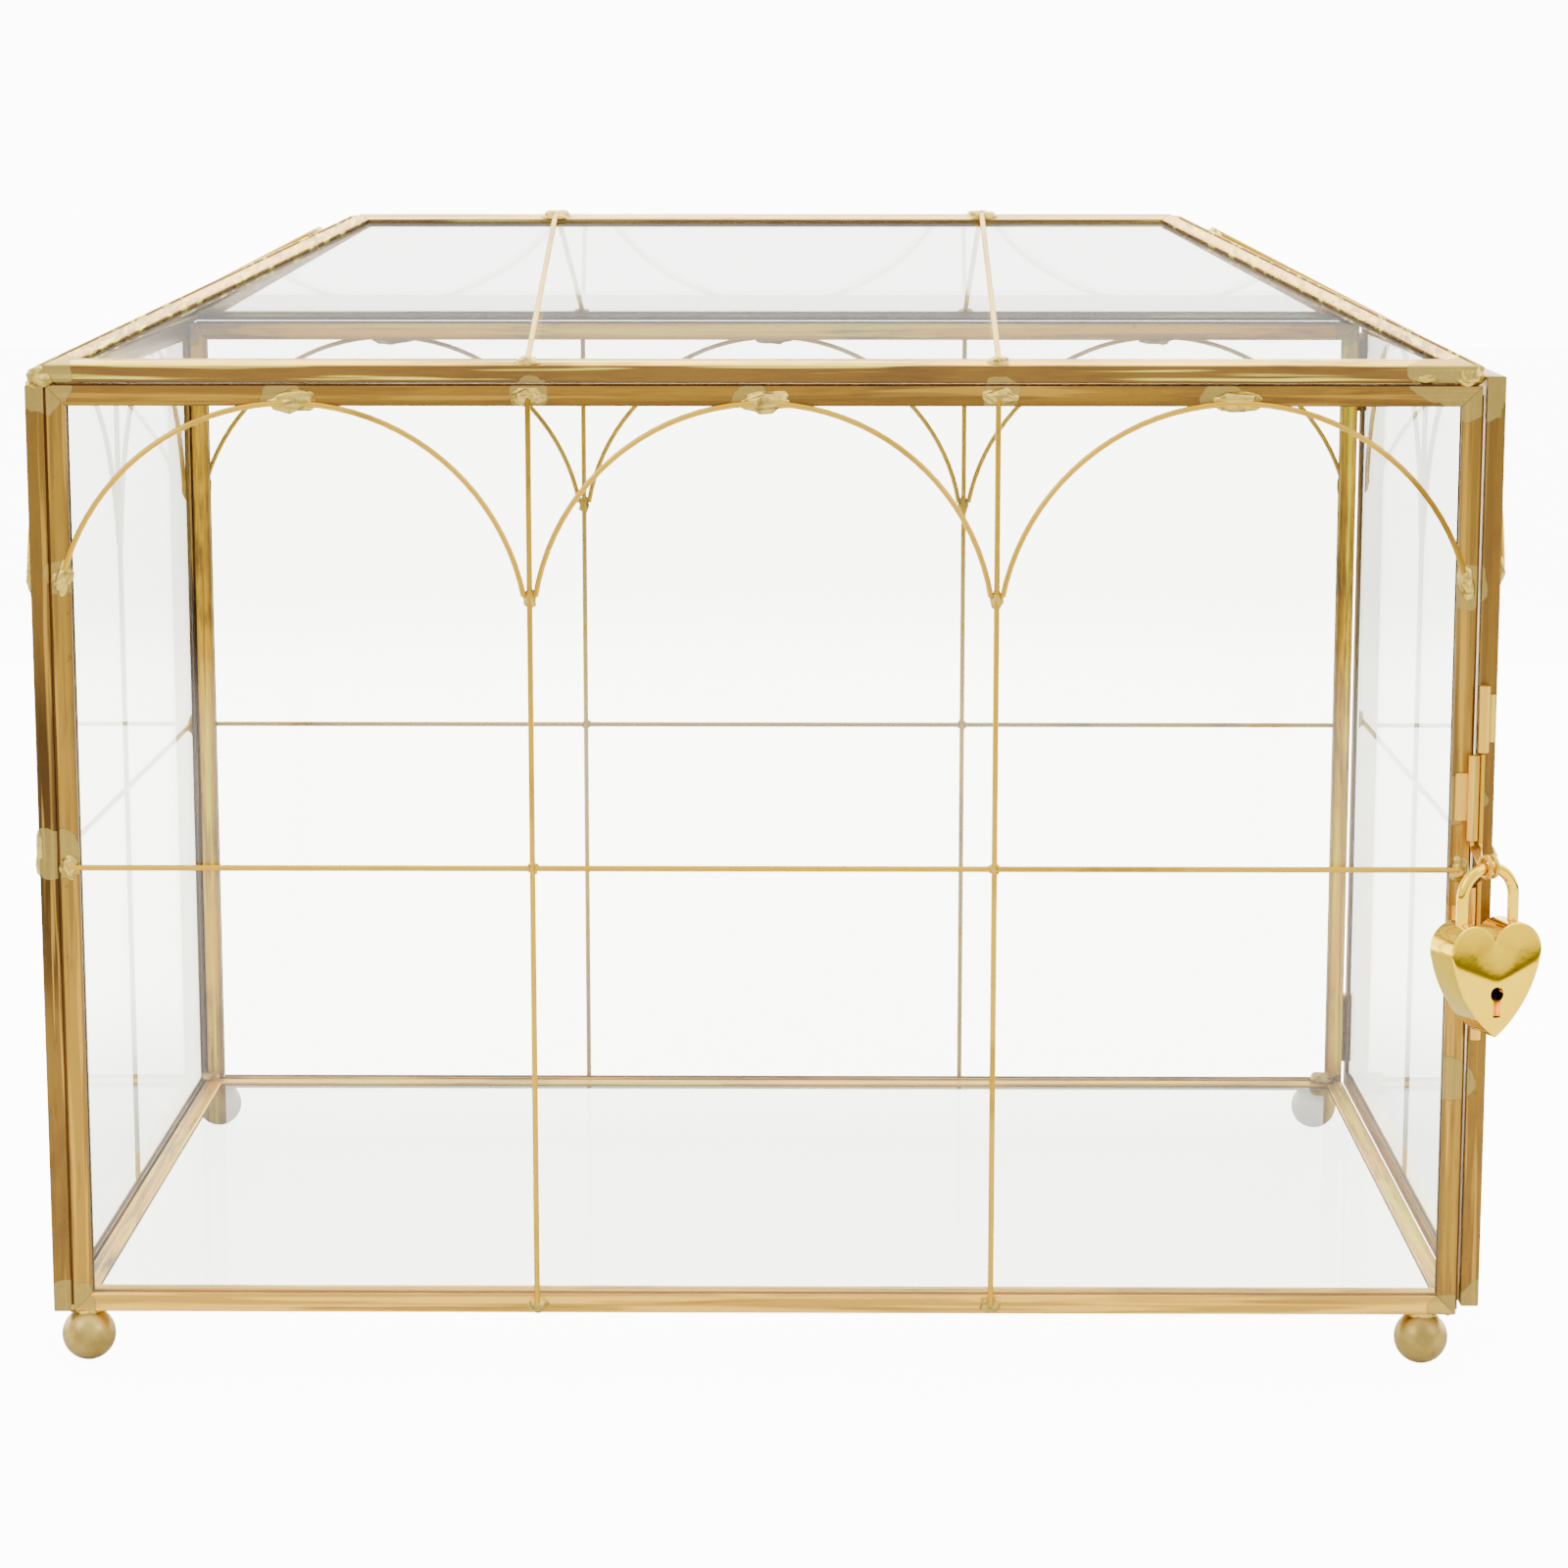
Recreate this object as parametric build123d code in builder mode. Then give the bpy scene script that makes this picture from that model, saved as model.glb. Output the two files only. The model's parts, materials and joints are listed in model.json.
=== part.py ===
from build123d import *
from math import atan2, cos, degrees, radians, sin
import os

# Wedding card box: framed glass panes under a low hip roof, with a side door and a heart padlock.
# Millimetres, +Z up, +X to the door, +Y to the back. The origin is the bottom centre of the box
# that bounds everything, so the case's own left front bottom corner stands at (left, front, base).

# Case
case_width = 300.0
case_depth = 195.0
wall_height = 198.0
ridge_rise = 28.0
ridge_length = 185.0
roof_front_inset = 0.6
roof_right_inset = 1.3

# Brass came (a U channel) and the glass that it holds
came_flange = 4.2
came_depth = 3.9
came_sheet = 0.4
mitre_gap = 0.12
seam = 0.4
glass_clearance = 0.05
glass_edge_clearance = 0.3

# Decorative wires
wire_radius = 0.6
wire_gap = 0.04
arch_rise = 40.0
arch_foot_inset = 2.6
arch_side_lift = 4.0
cross_height = 97.0
wire_end_inset = 2.0
apex_wire_share = 0.85

# Solder
blob_radius = 2.2
blob_height = 1.5
crown_blob_radius = 3.6
foot_blob_radius = 1.6

# Ball feet
foot_radius = 5.75
foot_sink = 0.3
foot_flat = 0.25
foot_from_side = 7.0
foot_from_front = 2.5

# Door and its hinges
door_gap = 0.9
door_lift = 2.0
knuckle_wall = 0.95
knuckle_length = 8.0
knuckle_gap = 0.3
knuckle_stand = 0.2
hinge_pin_radius = 1.0
hinge_running_clearance = 0.05
hinge_head_overhang = 0.6
hinge_head_height = 1.0
hinge_end_inset = 6.0
leaf_sheet = 0.6
leaf_edge = 0.2
hinge_leaf_width = 3.6

# Latch tubes and the two hairpin latch pins
latch_tube_wall = 0.62
latch_wire_radius = 0.5
latch_bore_clearance = 0.08
latch_prong_gap = 0.05
latch_tube_out = 0.2
latch_frame_tube = 18.0
latch_door_tube = 14.0
latch_tube_step = 0.6
latch_eye_drop = 5.0
latch_prong_stop = 0.4
latch_leaf_width = 3.4
latch_leaf_length = 10.0
eye_slack = 0.4
eye_spacing = 1.5
eye_bend = 1.4
eye_bend_height = 1.5

# Heart padlock
padlock_turn = 24.0
padlock_out = 2.0
padlock_reach = 12.5
eye_height = 100.0
eye_play = 0.25
shackle_wire_radius = 1.2
shackle_half_span = 6.2
shackle_leg_short = 11.2
shackle_leg_long = 15.1
spring_length = 2.0
shackle_clearance = 0.1
shackle_top_to_lobe = 11.4
lobe_radius = 5.6
lobe_offset = 5.3
heart_height = 23.7
heart_side_angle = 20.0
heart_side_bulge = 1.8
padlock_depth = 9.0
cover_depth = 1.4
padlock_wall = 1.2
cover_seam = 0.06
keyhole_radius = 1.55
keyhole_slot = 1.7
keyhole_length = 4.9
keyhole_drop = 8.9
shackle_notch = 0.7
latch_bar_height = 1.6
latch_bar_inner = 1.55
latch_bar_gap = 0.15
latch_bar_guide = 0.1
spring_wall = 0.5

# Sizes that follow the ones that they fit
hinge_bore = hinge_pin_radius + hinge_running_clearance
knuckle_radius = hinge_bore + knuckle_wall
latch_bore = latch_wire_radius + latch_bore_clearance
latch_tube_radius = latch_bore + latch_tube_wall
latch_prong_pitch = latch_tube_radius + latch_wire_radius + latch_prong_gap
latch_tube_x = case_width + latch_tube_out
eye_radius = shackle_wire_radius + eye_slack + latch_wire_radius
padlock_x = case_width + padlock_out

# Where the case stands in the row's frame
turn = radians(padlock_turn)
heart_half_width = lobe_offset + lobe_radius
hinge_y = case_depth + knuckle_stand + knuckle_radius
reach_left = blob_height
reach_right = padlock_x + heart_half_width * cos(turn) + padlock_depth / 2 * sin(turn)
reach_front = padlock_reach + heart_half_width * sin(turn) + padlock_depth / 2 * cos(turn)
reach_back = hinge_y + knuckle_radius
left = -(reach_right - reach_left) / 2
front = -(reach_back - reach_front) / 2
base = 2 * foot_radius - foot_sink - foot_flat

# Roof slopes
eave_height = wall_height + seam
roof_left = came_depth
roof_right = case_width - roof_right_inset
roof_width = roof_right - roof_left
roof_depth = case_depth - 2 * roof_front_inset
main_slope = atan2(ridge_rise, roof_depth / 2)
end_slope = atan2(ridge_rise, (roof_width - ridge_length) / 2)
main_length = ridge_rise / sin(main_slope)
end_length = ridge_rise / sin(end_slope)


def at(x, y, z):
    """A point of the case, measured from its left front bottom corner, in the row's frame."""
    return Vector(left + x, front + y, base + z)


# Outer face of each pane's frame: local X runs to the right and local Y up, seen from outside
front_width = case_width - came_depth - seam
floor_depth = case_depth - 2 * (came_depth + seam)
door_outer = case_width + door_gap + came_depth
planes = {
    "front": Plane(at(came_depth + seam, 0, 0), x_dir=(1, 0, 0), z_dir=(0, -1, 0)),
    "back": Plane(at(case_width, case_depth, 0), x_dir=(-1, 0, 0), z_dir=(0, 1, 0)),
    "left": Plane(at(0, case_depth, 0), x_dir=(0, -1, 0), z_dir=(-1, 0, 0)),
    "floor": Plane(
        at(came_depth + seam, case_depth - came_depth - seam, 0), x_dir=(1, 0, 0), z_dir=(0, 0, -1)
    ),
    "door": Plane(at(door_outer, 0, door_lift), x_dir=(0, 1, 0), z_dir=(1, 0, 0)),
    "roof_front": Plane(
        at(roof_left, roof_front_inset, eave_height),
        x_dir=(1, 0, 0),
        z_dir=(0, -sin(main_slope), cos(main_slope)),
    ).offset(came_depth),
    "roof_back": Plane(
        at(roof_right, case_depth - roof_front_inset, eave_height),
        x_dir=(-1, 0, 0),
        z_dir=(0, sin(main_slope), cos(main_slope)),
    ).offset(came_depth),
    "roof_left": Plane(
        at(roof_left, case_depth - roof_front_inset, eave_height),
        x_dir=(0, -1, 0),
        z_dir=(-sin(end_slope), 0, cos(end_slope)),
    ).offset(came_depth),
    "roof_right": Plane(
        at(roof_right, roof_front_inset, eave_height),
        x_dir=(0, 1, 0),
        z_dir=(sin(end_slope), 0, cos(end_slope)),
    ).offset(came_depth),
}


def rectangle(width, height):
    """Corners of a rectangle, anticlockwise from the lower left."""
    return [(0, 0), (width, 0), (width, height), (0, height)]


hip_run = (roof_width - ridge_length) / 2
trapezoid = [(0, 0), (roof_width, 0), (roof_width - hip_run, main_length), (hip_run, main_length)]
triangle = [(0, 0), (roof_depth, 0), (roof_depth / 2, end_length)]
outlines = {
    "front": rectangle(front_width, wall_height),
    "back": rectangle(front_width, wall_height),
    "left": rectangle(case_depth, wall_height),
    "floor": rectangle(front_width, floor_depth),
    "door": rectangle(case_depth, wall_height),
    "roof_front": trapezoid,
    "roof_back": trapezoid,
    "roof_left": triangle,
    "roof_right": triangle,
}


def save(builder, name):
    """Labels a finished piece and writes it as its own file."""
    builder.part.label = name
    export_step(builder.part, f"parts/{name}.step")


def inset(outline, distance):
    """The same outline with each side moved inwards by distance."""
    corners = [Vector(*point) for point in outline]
    count = len(corners)
    moved = []
    for i in range(count):
        before = (corners[i] - corners[i - 1]).normalized()
        after = (corners[(i + 1) % count] - corners[i]).normalized()
        inward = Vector(-before.Y, before.X)
        along = distance * (1 - before.dot(after)) / before.cross(after).Z
        moved.append(corners[i] + inward * distance - before * along)
    return moved


def strip_corners(outline, side, near, far):
    """The mitred strip of one side, between two insets, cut short by half the mitre gap."""
    outer = inset(outline, near)
    inner = inset(outline, far)
    after = (side + 1) % len(outline)
    along = (outer[after] - outer[side]).normalized() * (mitre_gap / 2)
    corners = [outer[side] + along, outer[after] - along, inner[after] - along, inner[side] + along]
    return [(corner.X, corner.Y) for corner in corners]


def came(name, panel, sides):
    """Mitred U channels on the named sides of a panel, each a separate solid."""
    with BuildPart() as channels:
        for side in sides:
            with BuildSketch(planes[panel]):
                Polygon(*strip_corners(outlines[panel], side, 0, came_flange), align=None)
            extrude(amount=-came_depth)
        for side in sides:
            with BuildSketch(planes[panel].offset(-came_sheet)):
                slot = strip_corners(outlines[panel], side, came_sheet, came_flange + came_sheet)
                Polygon(*slot, align=None)
            extrude(amount=-(came_depth - 2 * came_sheet), mode=Mode.SUBTRACT)
    save(channels, name)


def pane(name, panel):
    """The glass of a panel, held in the slots of its cames."""
    margin = came_sheet + glass_edge_clearance
    face_inset = came_sheet + glass_clearance
    with BuildPart() as glass:
        with BuildSketch(planes[panel].offset(-face_inset)):
            corners = [(corner.X, corner.Y) for corner in inset(outlines[panel], margin)]
            Polygon(*corners, align=None)
        extrude(amount=-(came_depth - 2 * face_inset))
    save(glass, name)


def gather(name, solids):
    """Saves separate solids of one kind as one node."""
    with BuildPart() as group:
        add(solids)
    save(group, name)


def rod(plane, start, end):
    """A straight round wire between two points of a plane."""
    first = plane.from_local_coords(start)
    last = plane.from_local_coords(end)
    with BuildPart() as wire:
        with BuildSketch(Plane(first, z_dir=last - first)):
            Circle(wire_radius)
        extrude(amount=(last - first).length)
    return wire.part


def bow(plane, start, top, end):
    """A round wire bent in one arc through three points of a plane."""
    with BuildPart() as wire:
        with BuildLine(plane) as path:
            ThreePointArc(start, top, end)
        with BuildSketch(Plane(path.line @ 0, z_dir=path.line % 0)):
            Circle(wire_radius)
        sweep(path=path.line)
    return wire.part


def dome(plane, x, y, radius):
    """A bead of solder on a plane: a slice of a ball with its flat side down."""
    ball = (radius * radius + blob_height * blob_height) / (2 * blob_height)
    half_angle = atan2(radius, ball - blob_height) / 2
    shoulder = (ball * sin(half_angle), blob_height - ball + ball * cos(half_angle))
    foot = plane.from_local_coords((x, y, 0))
    with BuildPart() as bead:
        with BuildSketch(Plane(foot, x_dir=plane.x_dir, z_dir=-plane.y_dir)):
            with BuildLine():
                ThreePointArc((radius, 0), shoulder, (0, blob_height))
                Line((0, blob_height), (0, 0))
                Line((0, 0), (radius, 0))
            make_face()
        revolve(axis=Axis(foot, plane.z_dir))
    return bead.part


# Wires of the upright panels, in each panel's own coordinates
wire_rise = wire_radius + wire_gap
arch_crown = wall_height - came_flange + wire_radius
arch_spring = arch_crown - arch_rise
arch_counts = {"front": 3, "back": 3, "left": 2, "door": 2}


def upright_places(panel):
    """Where a panel's uprights stand: evenly between its two outer arch feet."""
    width = outlines[panel][1][0]
    pitch = (width - 2 * arch_foot_inset) / arch_counts[panel]
    return [arch_foot_inset + pitch * i for i in range(arch_counts[panel] + 1)]


def arches(panel):
    """One bent wire for each arch, its feet beside the uprights or on the stiles."""
    places = upright_places(panel)
    beside = 2 * wire_radius + wire_gap
    raised = planes[panel].offset(wire_rise)
    wires = []
    for i in range(arch_counts[panel]):
        at_left = i == 0
        at_right = i == arch_counts[panel] - 1
        start_x = places[i] + (0 if at_left else beside)
        end_x = places[i + 1] - (0 if at_right else beside)
        start_y = arch_spring + (arch_side_lift if at_left else 0)
        end_y = arch_spring + (arch_side_lift if at_right else 0)
        middle = (places[i] + places[i + 1]) / 2
        wires.append(bow(raised, (start_x, start_y), (middle, arch_crown), (end_x, end_y)))
    gather(f"{panel}_arch_wires", wires)


def uprights(panel):
    """Straight wires from the top rail down to the bottom rail."""
    high = wall_height - wire_end_inset
    wires = [
        rod(planes[panel], (x, wire_end_inset, wire_rise), (x, high, wire_rise))
        for x in upright_places(panel)[1:-1]
    ]
    gather(f"{panel}_upright_wires", wires)


def cross_wire(panel):
    """The level wire, cut into one length for each bay and soldered between the uprights."""
    width = outlines[panel][1][0]
    places = [wire_end_inset - wire_radius - wire_gap]
    places += upright_places(panel)[1:-1]
    places += [width - wire_end_inset + wire_radius + wire_gap]
    wires = []
    for i in range(arch_counts[panel]):
        start = (places[i] + wire_radius + wire_gap, cross_height, wire_rise)
        end = (places[i + 1] - wire_radius - wire_gap, cross_height, wire_rise)
        wires.append(rod(planes[panel], start, end))
    gather(f"{panel}_cross_wire", wires)


def panel_blobs(panel):
    """Solder beads where a panel's wires meet its frame."""
    plane = planes[panel]
    places = upright_places(panel)
    width = outlines[panel][1][0]
    beads = []
    for i in range(arch_counts[panel]):
        beads.append(dome(plane, (places[i] + places[i + 1]) / 2, arch_crown, crown_blob_radius))
    for x in places[1:-1]:
        beads.append(dome(plane, x, wall_height - wire_end_inset, blob_radius))
        beads.append(dome(plane, x, wire_end_inset, foot_blob_radius))
    for x in (wire_end_inset, width - wire_end_inset):
        beads.append(dome(plane, x, cross_height, foot_blob_radius))
    for x in (places[0], places[-1]):
        beads.append(dome(plane, x, arch_spring + arch_side_lift, foot_blob_radius))
    return beads


os.makedirs("parts", exist_ok=True)

# Cames: rails are level, stiles are upright, hips run up the roof's corners
for panel in ("front", "back", "left", "door"):
    came(f"{panel}_rails", panel, (0, 2))
    came(f"{panel}_stiles", panel, (1, 3))
came("floor_long_rails", "floor", (0, 2))
came("floor_short_rails", "floor", (1, 3))
for panel in ("roof_front", "roof_back"):
    came(f"{panel}_rails", panel, (0, 2))
    came(f"{panel}_hips", panel, (1, 3))
for panel in ("roof_left", "roof_right"):
    came(f"{panel}_came", panel, (0, 1, 2))

# Glass
for panel in outlines:
    pane(f"{panel}_glass", panel)

# Wires of the walls and the door
for panel in arch_counts:
    arches(panel)
    uprights(panel)
    cross_wire(panel)

# Wires of the roof, in line with the uprights below
roof_start = came_depth + seam - roof_left
front_places = [roof_start + x for x in upright_places("front")[1:-1]]
roof_wires = {
    "roof_front": (front_places, main_length - wire_end_inset),
    "roof_back": ([roof_width - x for x in front_places], main_length - wire_end_inset),
    "roof_left": ([roof_depth / 2], end_length * apex_wire_share),
    "roof_right": ([roof_depth / 2], end_length * apex_wire_share),
}
roof_beads = []
for panel, (places, high) in roof_wires.items():
    wires = []
    for x in places:
        wires.append(rod(planes[panel], (x, wire_end_inset, wire_rise), (x, high, wire_rise)))
        roof_beads.append(dome(planes[panel], x, wire_end_inset, foot_blob_radius))
        roof_beads.append(dome(planes[panel], x, high, foot_blob_radius))
    gather(f"{panel}_wires", wires)

# Solder beads
gather("case_solder", panel_blobs("front") + panel_blobs("back") + panel_blobs("left") + roof_beads)
gather("door_solder", panel_blobs("door"))

# Ball feet, each with a flat where it is soldered on and a small flat where it stands
foot_centre = foot_radius - foot_flat
with BuildPart() as ball_feet:
    foot_spots = [
        at(x, y, foot_centre - base)
        for x in (foot_from_side, case_width - foot_from_side)
        for y in (foot_from_front, case_depth - foot_from_front)
    ]
    with Locations(*foot_spots):
        Sphere(foot_radius)
    with BuildSketch(Plane.XY.offset(base)):
        Rectangle(2 * case_width, 2 * case_width)
    extrude(amount=foot_radius, mode=Mode.SUBTRACT)
    with BuildSketch(Plane.XY):
        Rectangle(2 * case_width, 2 * case_width)
    extrude(amount=-foot_radius, mode=Mode.SUBTRACT)
save(ball_feet, "ball_feet")

# Hinges behind the door's back edge: a lower knuckle on the case, an upper one on the door
hinge_x = case_width + door_gap / 2
hinge_span = 2 * knuckle_length + knuckle_gap
hinge_bottoms = (
    door_lift + hinge_end_inset,
    door_lift + wall_height - hinge_end_inset - hinge_span,
)


def knuckles(name, rise, leaf_start, leaf_width):
    """Two rolled knuckles with their leaves, one for each hinge."""
    hinge_axis = at(hinge_x, hinge_y, 0)
    leaf_corner = at(leaf_start, case_depth, 0)
    with BuildPart() as tubes:
        for bottom in hinge_bottoms:
            level = Plane.XY.offset(base + bottom + rise)
            with BuildSketch(level):
                with Locations((hinge_axis.X, hinge_axis.Y)):
                    Circle(knuckle_radius)
                with Locations((leaf_corner.X, leaf_corner.Y)):
                    Rectangle(leaf_width, leaf_sheet, align=(Align.MIN, Align.MIN))
                with Locations((hinge_axis.X, hinge_axis.Y)):
                    Circle(hinge_bore, mode=Mode.SUBTRACT)
            extrude(amount=knuckle_length)
    save(tubes, name)


knuckles("case_hinge_knuckles", 0, case_width - hinge_leaf_width, hinge_leaf_width)
knuckles(
    "door_hinge_knuckles",
    knuckle_length + knuckle_gap,
    case_width + door_gap,
    hinge_leaf_width,
)

with BuildPart() as hinge_pins:
    for bottom in hinge_bottoms:
        centre = at(hinge_x, hinge_y, bottom)
        with BuildSketch(Plane.XY.offset(centre.Z)):
            with Locations((centre.X, centre.Y)):
                Circle(hinge_pin_radius)
        extrude(amount=hinge_span + knuckle_gap + hinge_head_height)
        with BuildSketch(Plane.XY.offset(centre.Z + hinge_span + knuckle_gap)):
            with Locations((centre.X, centre.Y)):
                Circle(hinge_pin_radius + hinge_head_overhang)
        extrude(amount=hinge_head_height)
save(hinge_pins, "hinge_pins")

# Latch tubes on the front right corner, in pairs above and below the eyes
latch_y = -latch_tube_radius - leaf_edge
latch_door_x = latch_tube_x + latch_prong_pitch
frame_tube_starts = (
    eye_height + latch_eye_drop - eye_bend_height,
    eye_height - latch_eye_drop - latch_frame_tube - eye_bend_height,
)
door_tube_starts = (
    frame_tube_starts[0] + latch_frame_tube + latch_tube_step,
    frame_tube_starts[1] - latch_tube_step - latch_door_tube,
)


def latch_tubes(name, x, starts, length, leaf_from, leaf_to):
    """A pair of short tubes with flat leaves, standing on the front corner."""
    with BuildPart() as tubes:
        for start in starts:
            centre = at(x, latch_y, start)
            leaf_corner = at(leaf_from, 0, start + (length - latch_leaf_length) / 2)
            with BuildSketch(Plane.XY.offset(leaf_corner.Z)):
                with Locations((leaf_corner.X, leaf_corner.Y)):
                    Rectangle(leaf_to - leaf_from, leaf_sheet, align=(Align.MIN, Align.MAX))
            extrude(amount=latch_leaf_length)
            with BuildSketch(Plane.XY.offset(centre.Z)):
                with Locations((centre.X, centre.Y)):
                    Circle(latch_tube_radius)
            extrude(amount=length)
            with BuildSketch(Plane.XY.offset(centre.Z)):
                with Locations((centre.X, centre.Y)):
                    Circle(latch_bore)
            extrude(amount=length, mode=Mode.SUBTRACT)
    save(tubes, name)


latch_tubes(
    "case_latch_tubes",
    latch_tube_x,
    frame_tube_starts,
    latch_frame_tube,
    case_width - latch_leaf_width,
    latch_tube_x,
)
latch_tubes(
    "door_latch_tubes",
    latch_door_x,
    door_tube_starts,
    latch_door_tube,
    latch_door_x,
    door_outer - leaf_edge,
)

# The padlock's own directions: along its face, out of its face, and up
face_along = Vector(cos(turn), sin(turn), 0)
face_out = Vector(sin(turn), -cos(turn), 0)
eye_centre = at(padlock_x, -padlock_reach, eye_height)


def latch_pin(name, side, tube_start, door_end):
    """A hairpin: one prong in the case's tube, one beside it, both ending in the round eye."""
    ring_centre = eye_centre + face_along * (side * eye_spacing / 2)
    near = ring_centre - face_out * eye_radius
    if tube_start > eye_height:
        bend_z = base + tube_start - eye_bend_height
        inner_end = base + tube_start + latch_frame_tube - latch_tube_radius
    else:
        bend_z = base + tube_start + latch_frame_tube + eye_bend_height
        inner_end = base + tube_start + latch_tube_radius
    with BuildPart() as pin:
        for x, end_z in ((latch_tube_x, inner_end), (latch_door_x, base + door_end)):
            top = at(x, latch_y, 0)
            points = (
                Vector(top.X, top.Y, end_z),
                Vector(top.X, top.Y, bend_z),
                near,
            )
            with BuildLine() as path:
                FilletPolyline(*points, radius=eye_bend)
            with BuildSketch(Plane(path.line @ 0, z_dir=path.line % 0)):
                Circle(latch_wire_radius)
            sweep(path=path.line)
        with BuildSketch(Plane(ring_centre, x_dir=face_along, z_dir=face_out)):
            with Locations((0, eye_radius)):
                Circle(latch_wire_radius)
        revolve(axis=Axis(ring_centre, face_along))
    save(pin, name)


latch_pin("upper_latch_pin", -1, frame_tube_starts[0], door_tube_starts[0] - latch_prong_stop)
latch_pin(
    "lower_latch_pin",
    1,
    frame_tube_starts[1],
    door_tube_starts[1] + latch_door_tube + latch_prong_stop,
)

# Padlock: a shackle, a hollow heart, its cover with the keyhole, and the works inside.
# The face plane holds the shackle's centre line: local X along the face, local Y up.
eye_inner = eye_radius - latch_wire_radius
shackle_top = eye_centre.Z - (eye_inner - shackle_wire_radius - eye_play)
shackle_centre = Vector(eye_centre.X, eye_centre.Y, shackle_top - shackle_half_span)
middle_plane = Plane(shackle_centre, x_dir=face_along, z_dir=face_out)
lobe_top = shackle_half_span - shackle_top_to_lobe
lobe_level = lobe_top - lobe_radius
tip_level = lobe_top - heart_height
side_angle = radians(heart_side_angle)
latch_bar_level = -shackle_leg_short + latch_bar_height


def heart(plane, shrink):
    """The heart's outline on a plane, drawn as two lobes and two bulging sides, then shrunk."""
    side = (lobe_offset + lobe_radius * cos(side_angle), lobe_level - lobe_radius * sin(side_angle))
    notch = (0, lobe_level + (lobe_radius**2 - lobe_offset**2) ** 0.5)
    chord = Vector(side[0], side[1] - tip_level)
    outward = Vector(chord.Y, -chord.X).normalized() * heart_side_bulge
    bulge = (side[0] / 2 + outward.X, (side[1] + tip_level) / 2 + outward.Y)
    with BuildSketch(plane) as outline:
        with BuildLine():
            ThreePointArc(notch, (lobe_offset, lobe_top), side)
            ThreePointArc(side, bulge, (0, tip_level))
            mirror(about=Plane.YZ)
        make_face()
        if shrink:
            offset(amount=-shrink)
    return outline.sketch


with BuildPart() as padlock_shackle:
    with BuildLine(middle_plane) as shackle_path:
        CenterArc((0, 0), shackle_half_span, 0, 180)
        Line((-shackle_half_span, -shackle_leg_long), (-shackle_half_span, 0))
        Line((shackle_half_span, 0), (shackle_half_span, -shackle_leg_short))
    with BuildSketch(Plane(middle_plane.from_local_coords((-shackle_half_span, -shackle_leg_long, 0)))):
        Circle(shackle_wire_radius)
    sweep(path=shackle_path.line)
    with BuildSketch(middle_plane.offset(-shackle_wire_radius)):
        with Locations((shackle_half_span - shackle_wire_radius, latch_bar_level)):
            Rectangle(
                2 * shackle_notch,
                latch_bar_height + 2 * latch_bar_gap,
                align=(Align.CENTER, Align.CENTER),
            )
    extrude(amount=2 * shackle_wire_radius, mode=Mode.SUBTRACT)
save(padlock_shackle, "padlock_shackle")

half_depth = padlock_depth / 2
cover_back = half_depth - cover_depth
leg_hole = shackle_wire_radius + shackle_clearance
heart_back = heart(middle_plane.offset(-half_depth), 0)
heart_hollow = heart(middle_plane.offset(padlock_wall - half_depth), padlock_wall)
heart_cover = heart(middle_plane.offset(cover_back), 0)
with BuildPart() as padlock_case:
    extrude(heart_back, amount=padlock_depth - cover_depth - cover_seam)
    extrude(heart_hollow, amount=padlock_depth, mode=Mode.SUBTRACT)
    for x, length in ((-shackle_half_span, shackle_leg_long), (shackle_half_span, shackle_leg_short)):
        with BuildSketch(Plane(middle_plane.from_local_coords((x, 0, 0)))):
            Circle(leg_hole)
        extrude(amount=-length, mode=Mode.SUBTRACT)
save(padlock_case, "padlock_case")

keyhole_level = lobe_level - keyhole_drop
with BuildPart() as padlock_cover:
    extrude(heart_cover, amount=cover_depth)
    with BuildSketch(middle_plane.offset(cover_back)):
        with Locations((0, keyhole_level)):
            Circle(keyhole_radius)
            Rectangle(keyhole_slot, keyhole_length, align=(Align.CENTER, Align.MAX))
    extrude(amount=cover_depth, mode=Mode.SUBTRACT)
save(padlock_cover, "padlock_cover")

# Latch bar: guided between the case's back and the cover, drawn back from the shackle's notch
bar_right = shackle_half_span - shackle_wire_radius - latch_bar_gap
bar_back = padlock_wall - half_depth + latch_bar_guide
with BuildPart() as padlock_latch:
    with BuildSketch(middle_plane.offset(bar_back)):
        with Locations((bar_right, latch_bar_level)):
            Rectangle(bar_right - latch_bar_inner, latch_bar_height, align=(Align.MAX, Align.CENTER))
    extrude(amount=cover_back - latch_bar_guide - bar_back)
save(padlock_latch, "padlock_latch")

# Shackle spring: a coil under the long leg, drawn as the tube that it fills
with BuildPart() as padlock_spring:
    with BuildSketch(Plane(middle_plane.from_local_coords((-shackle_half_span, -shackle_leg_long, 0)))):
        Circle(shackle_wire_radius)
        Circle(shackle_wire_radius - spring_wall, mode=Mode.SUBTRACT)
    extrude(amount=-spring_length)
save(padlock_spring, "padlock_spring")

print("front slope", round(degrees(main_slope), 2), "end slope", round(degrees(end_slope), 2))
print("case corner", left, front, base)
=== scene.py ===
"""A glass card box for weddings: its finishes, its solder and its padlock, laid over the fixed frame."""

import json
import logging
import math
from collections.abc import Callable
from dataclasses import dataclass, field
from enum import Enum

import bpy
from mathutils import Matrix, Vector, noise

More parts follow.
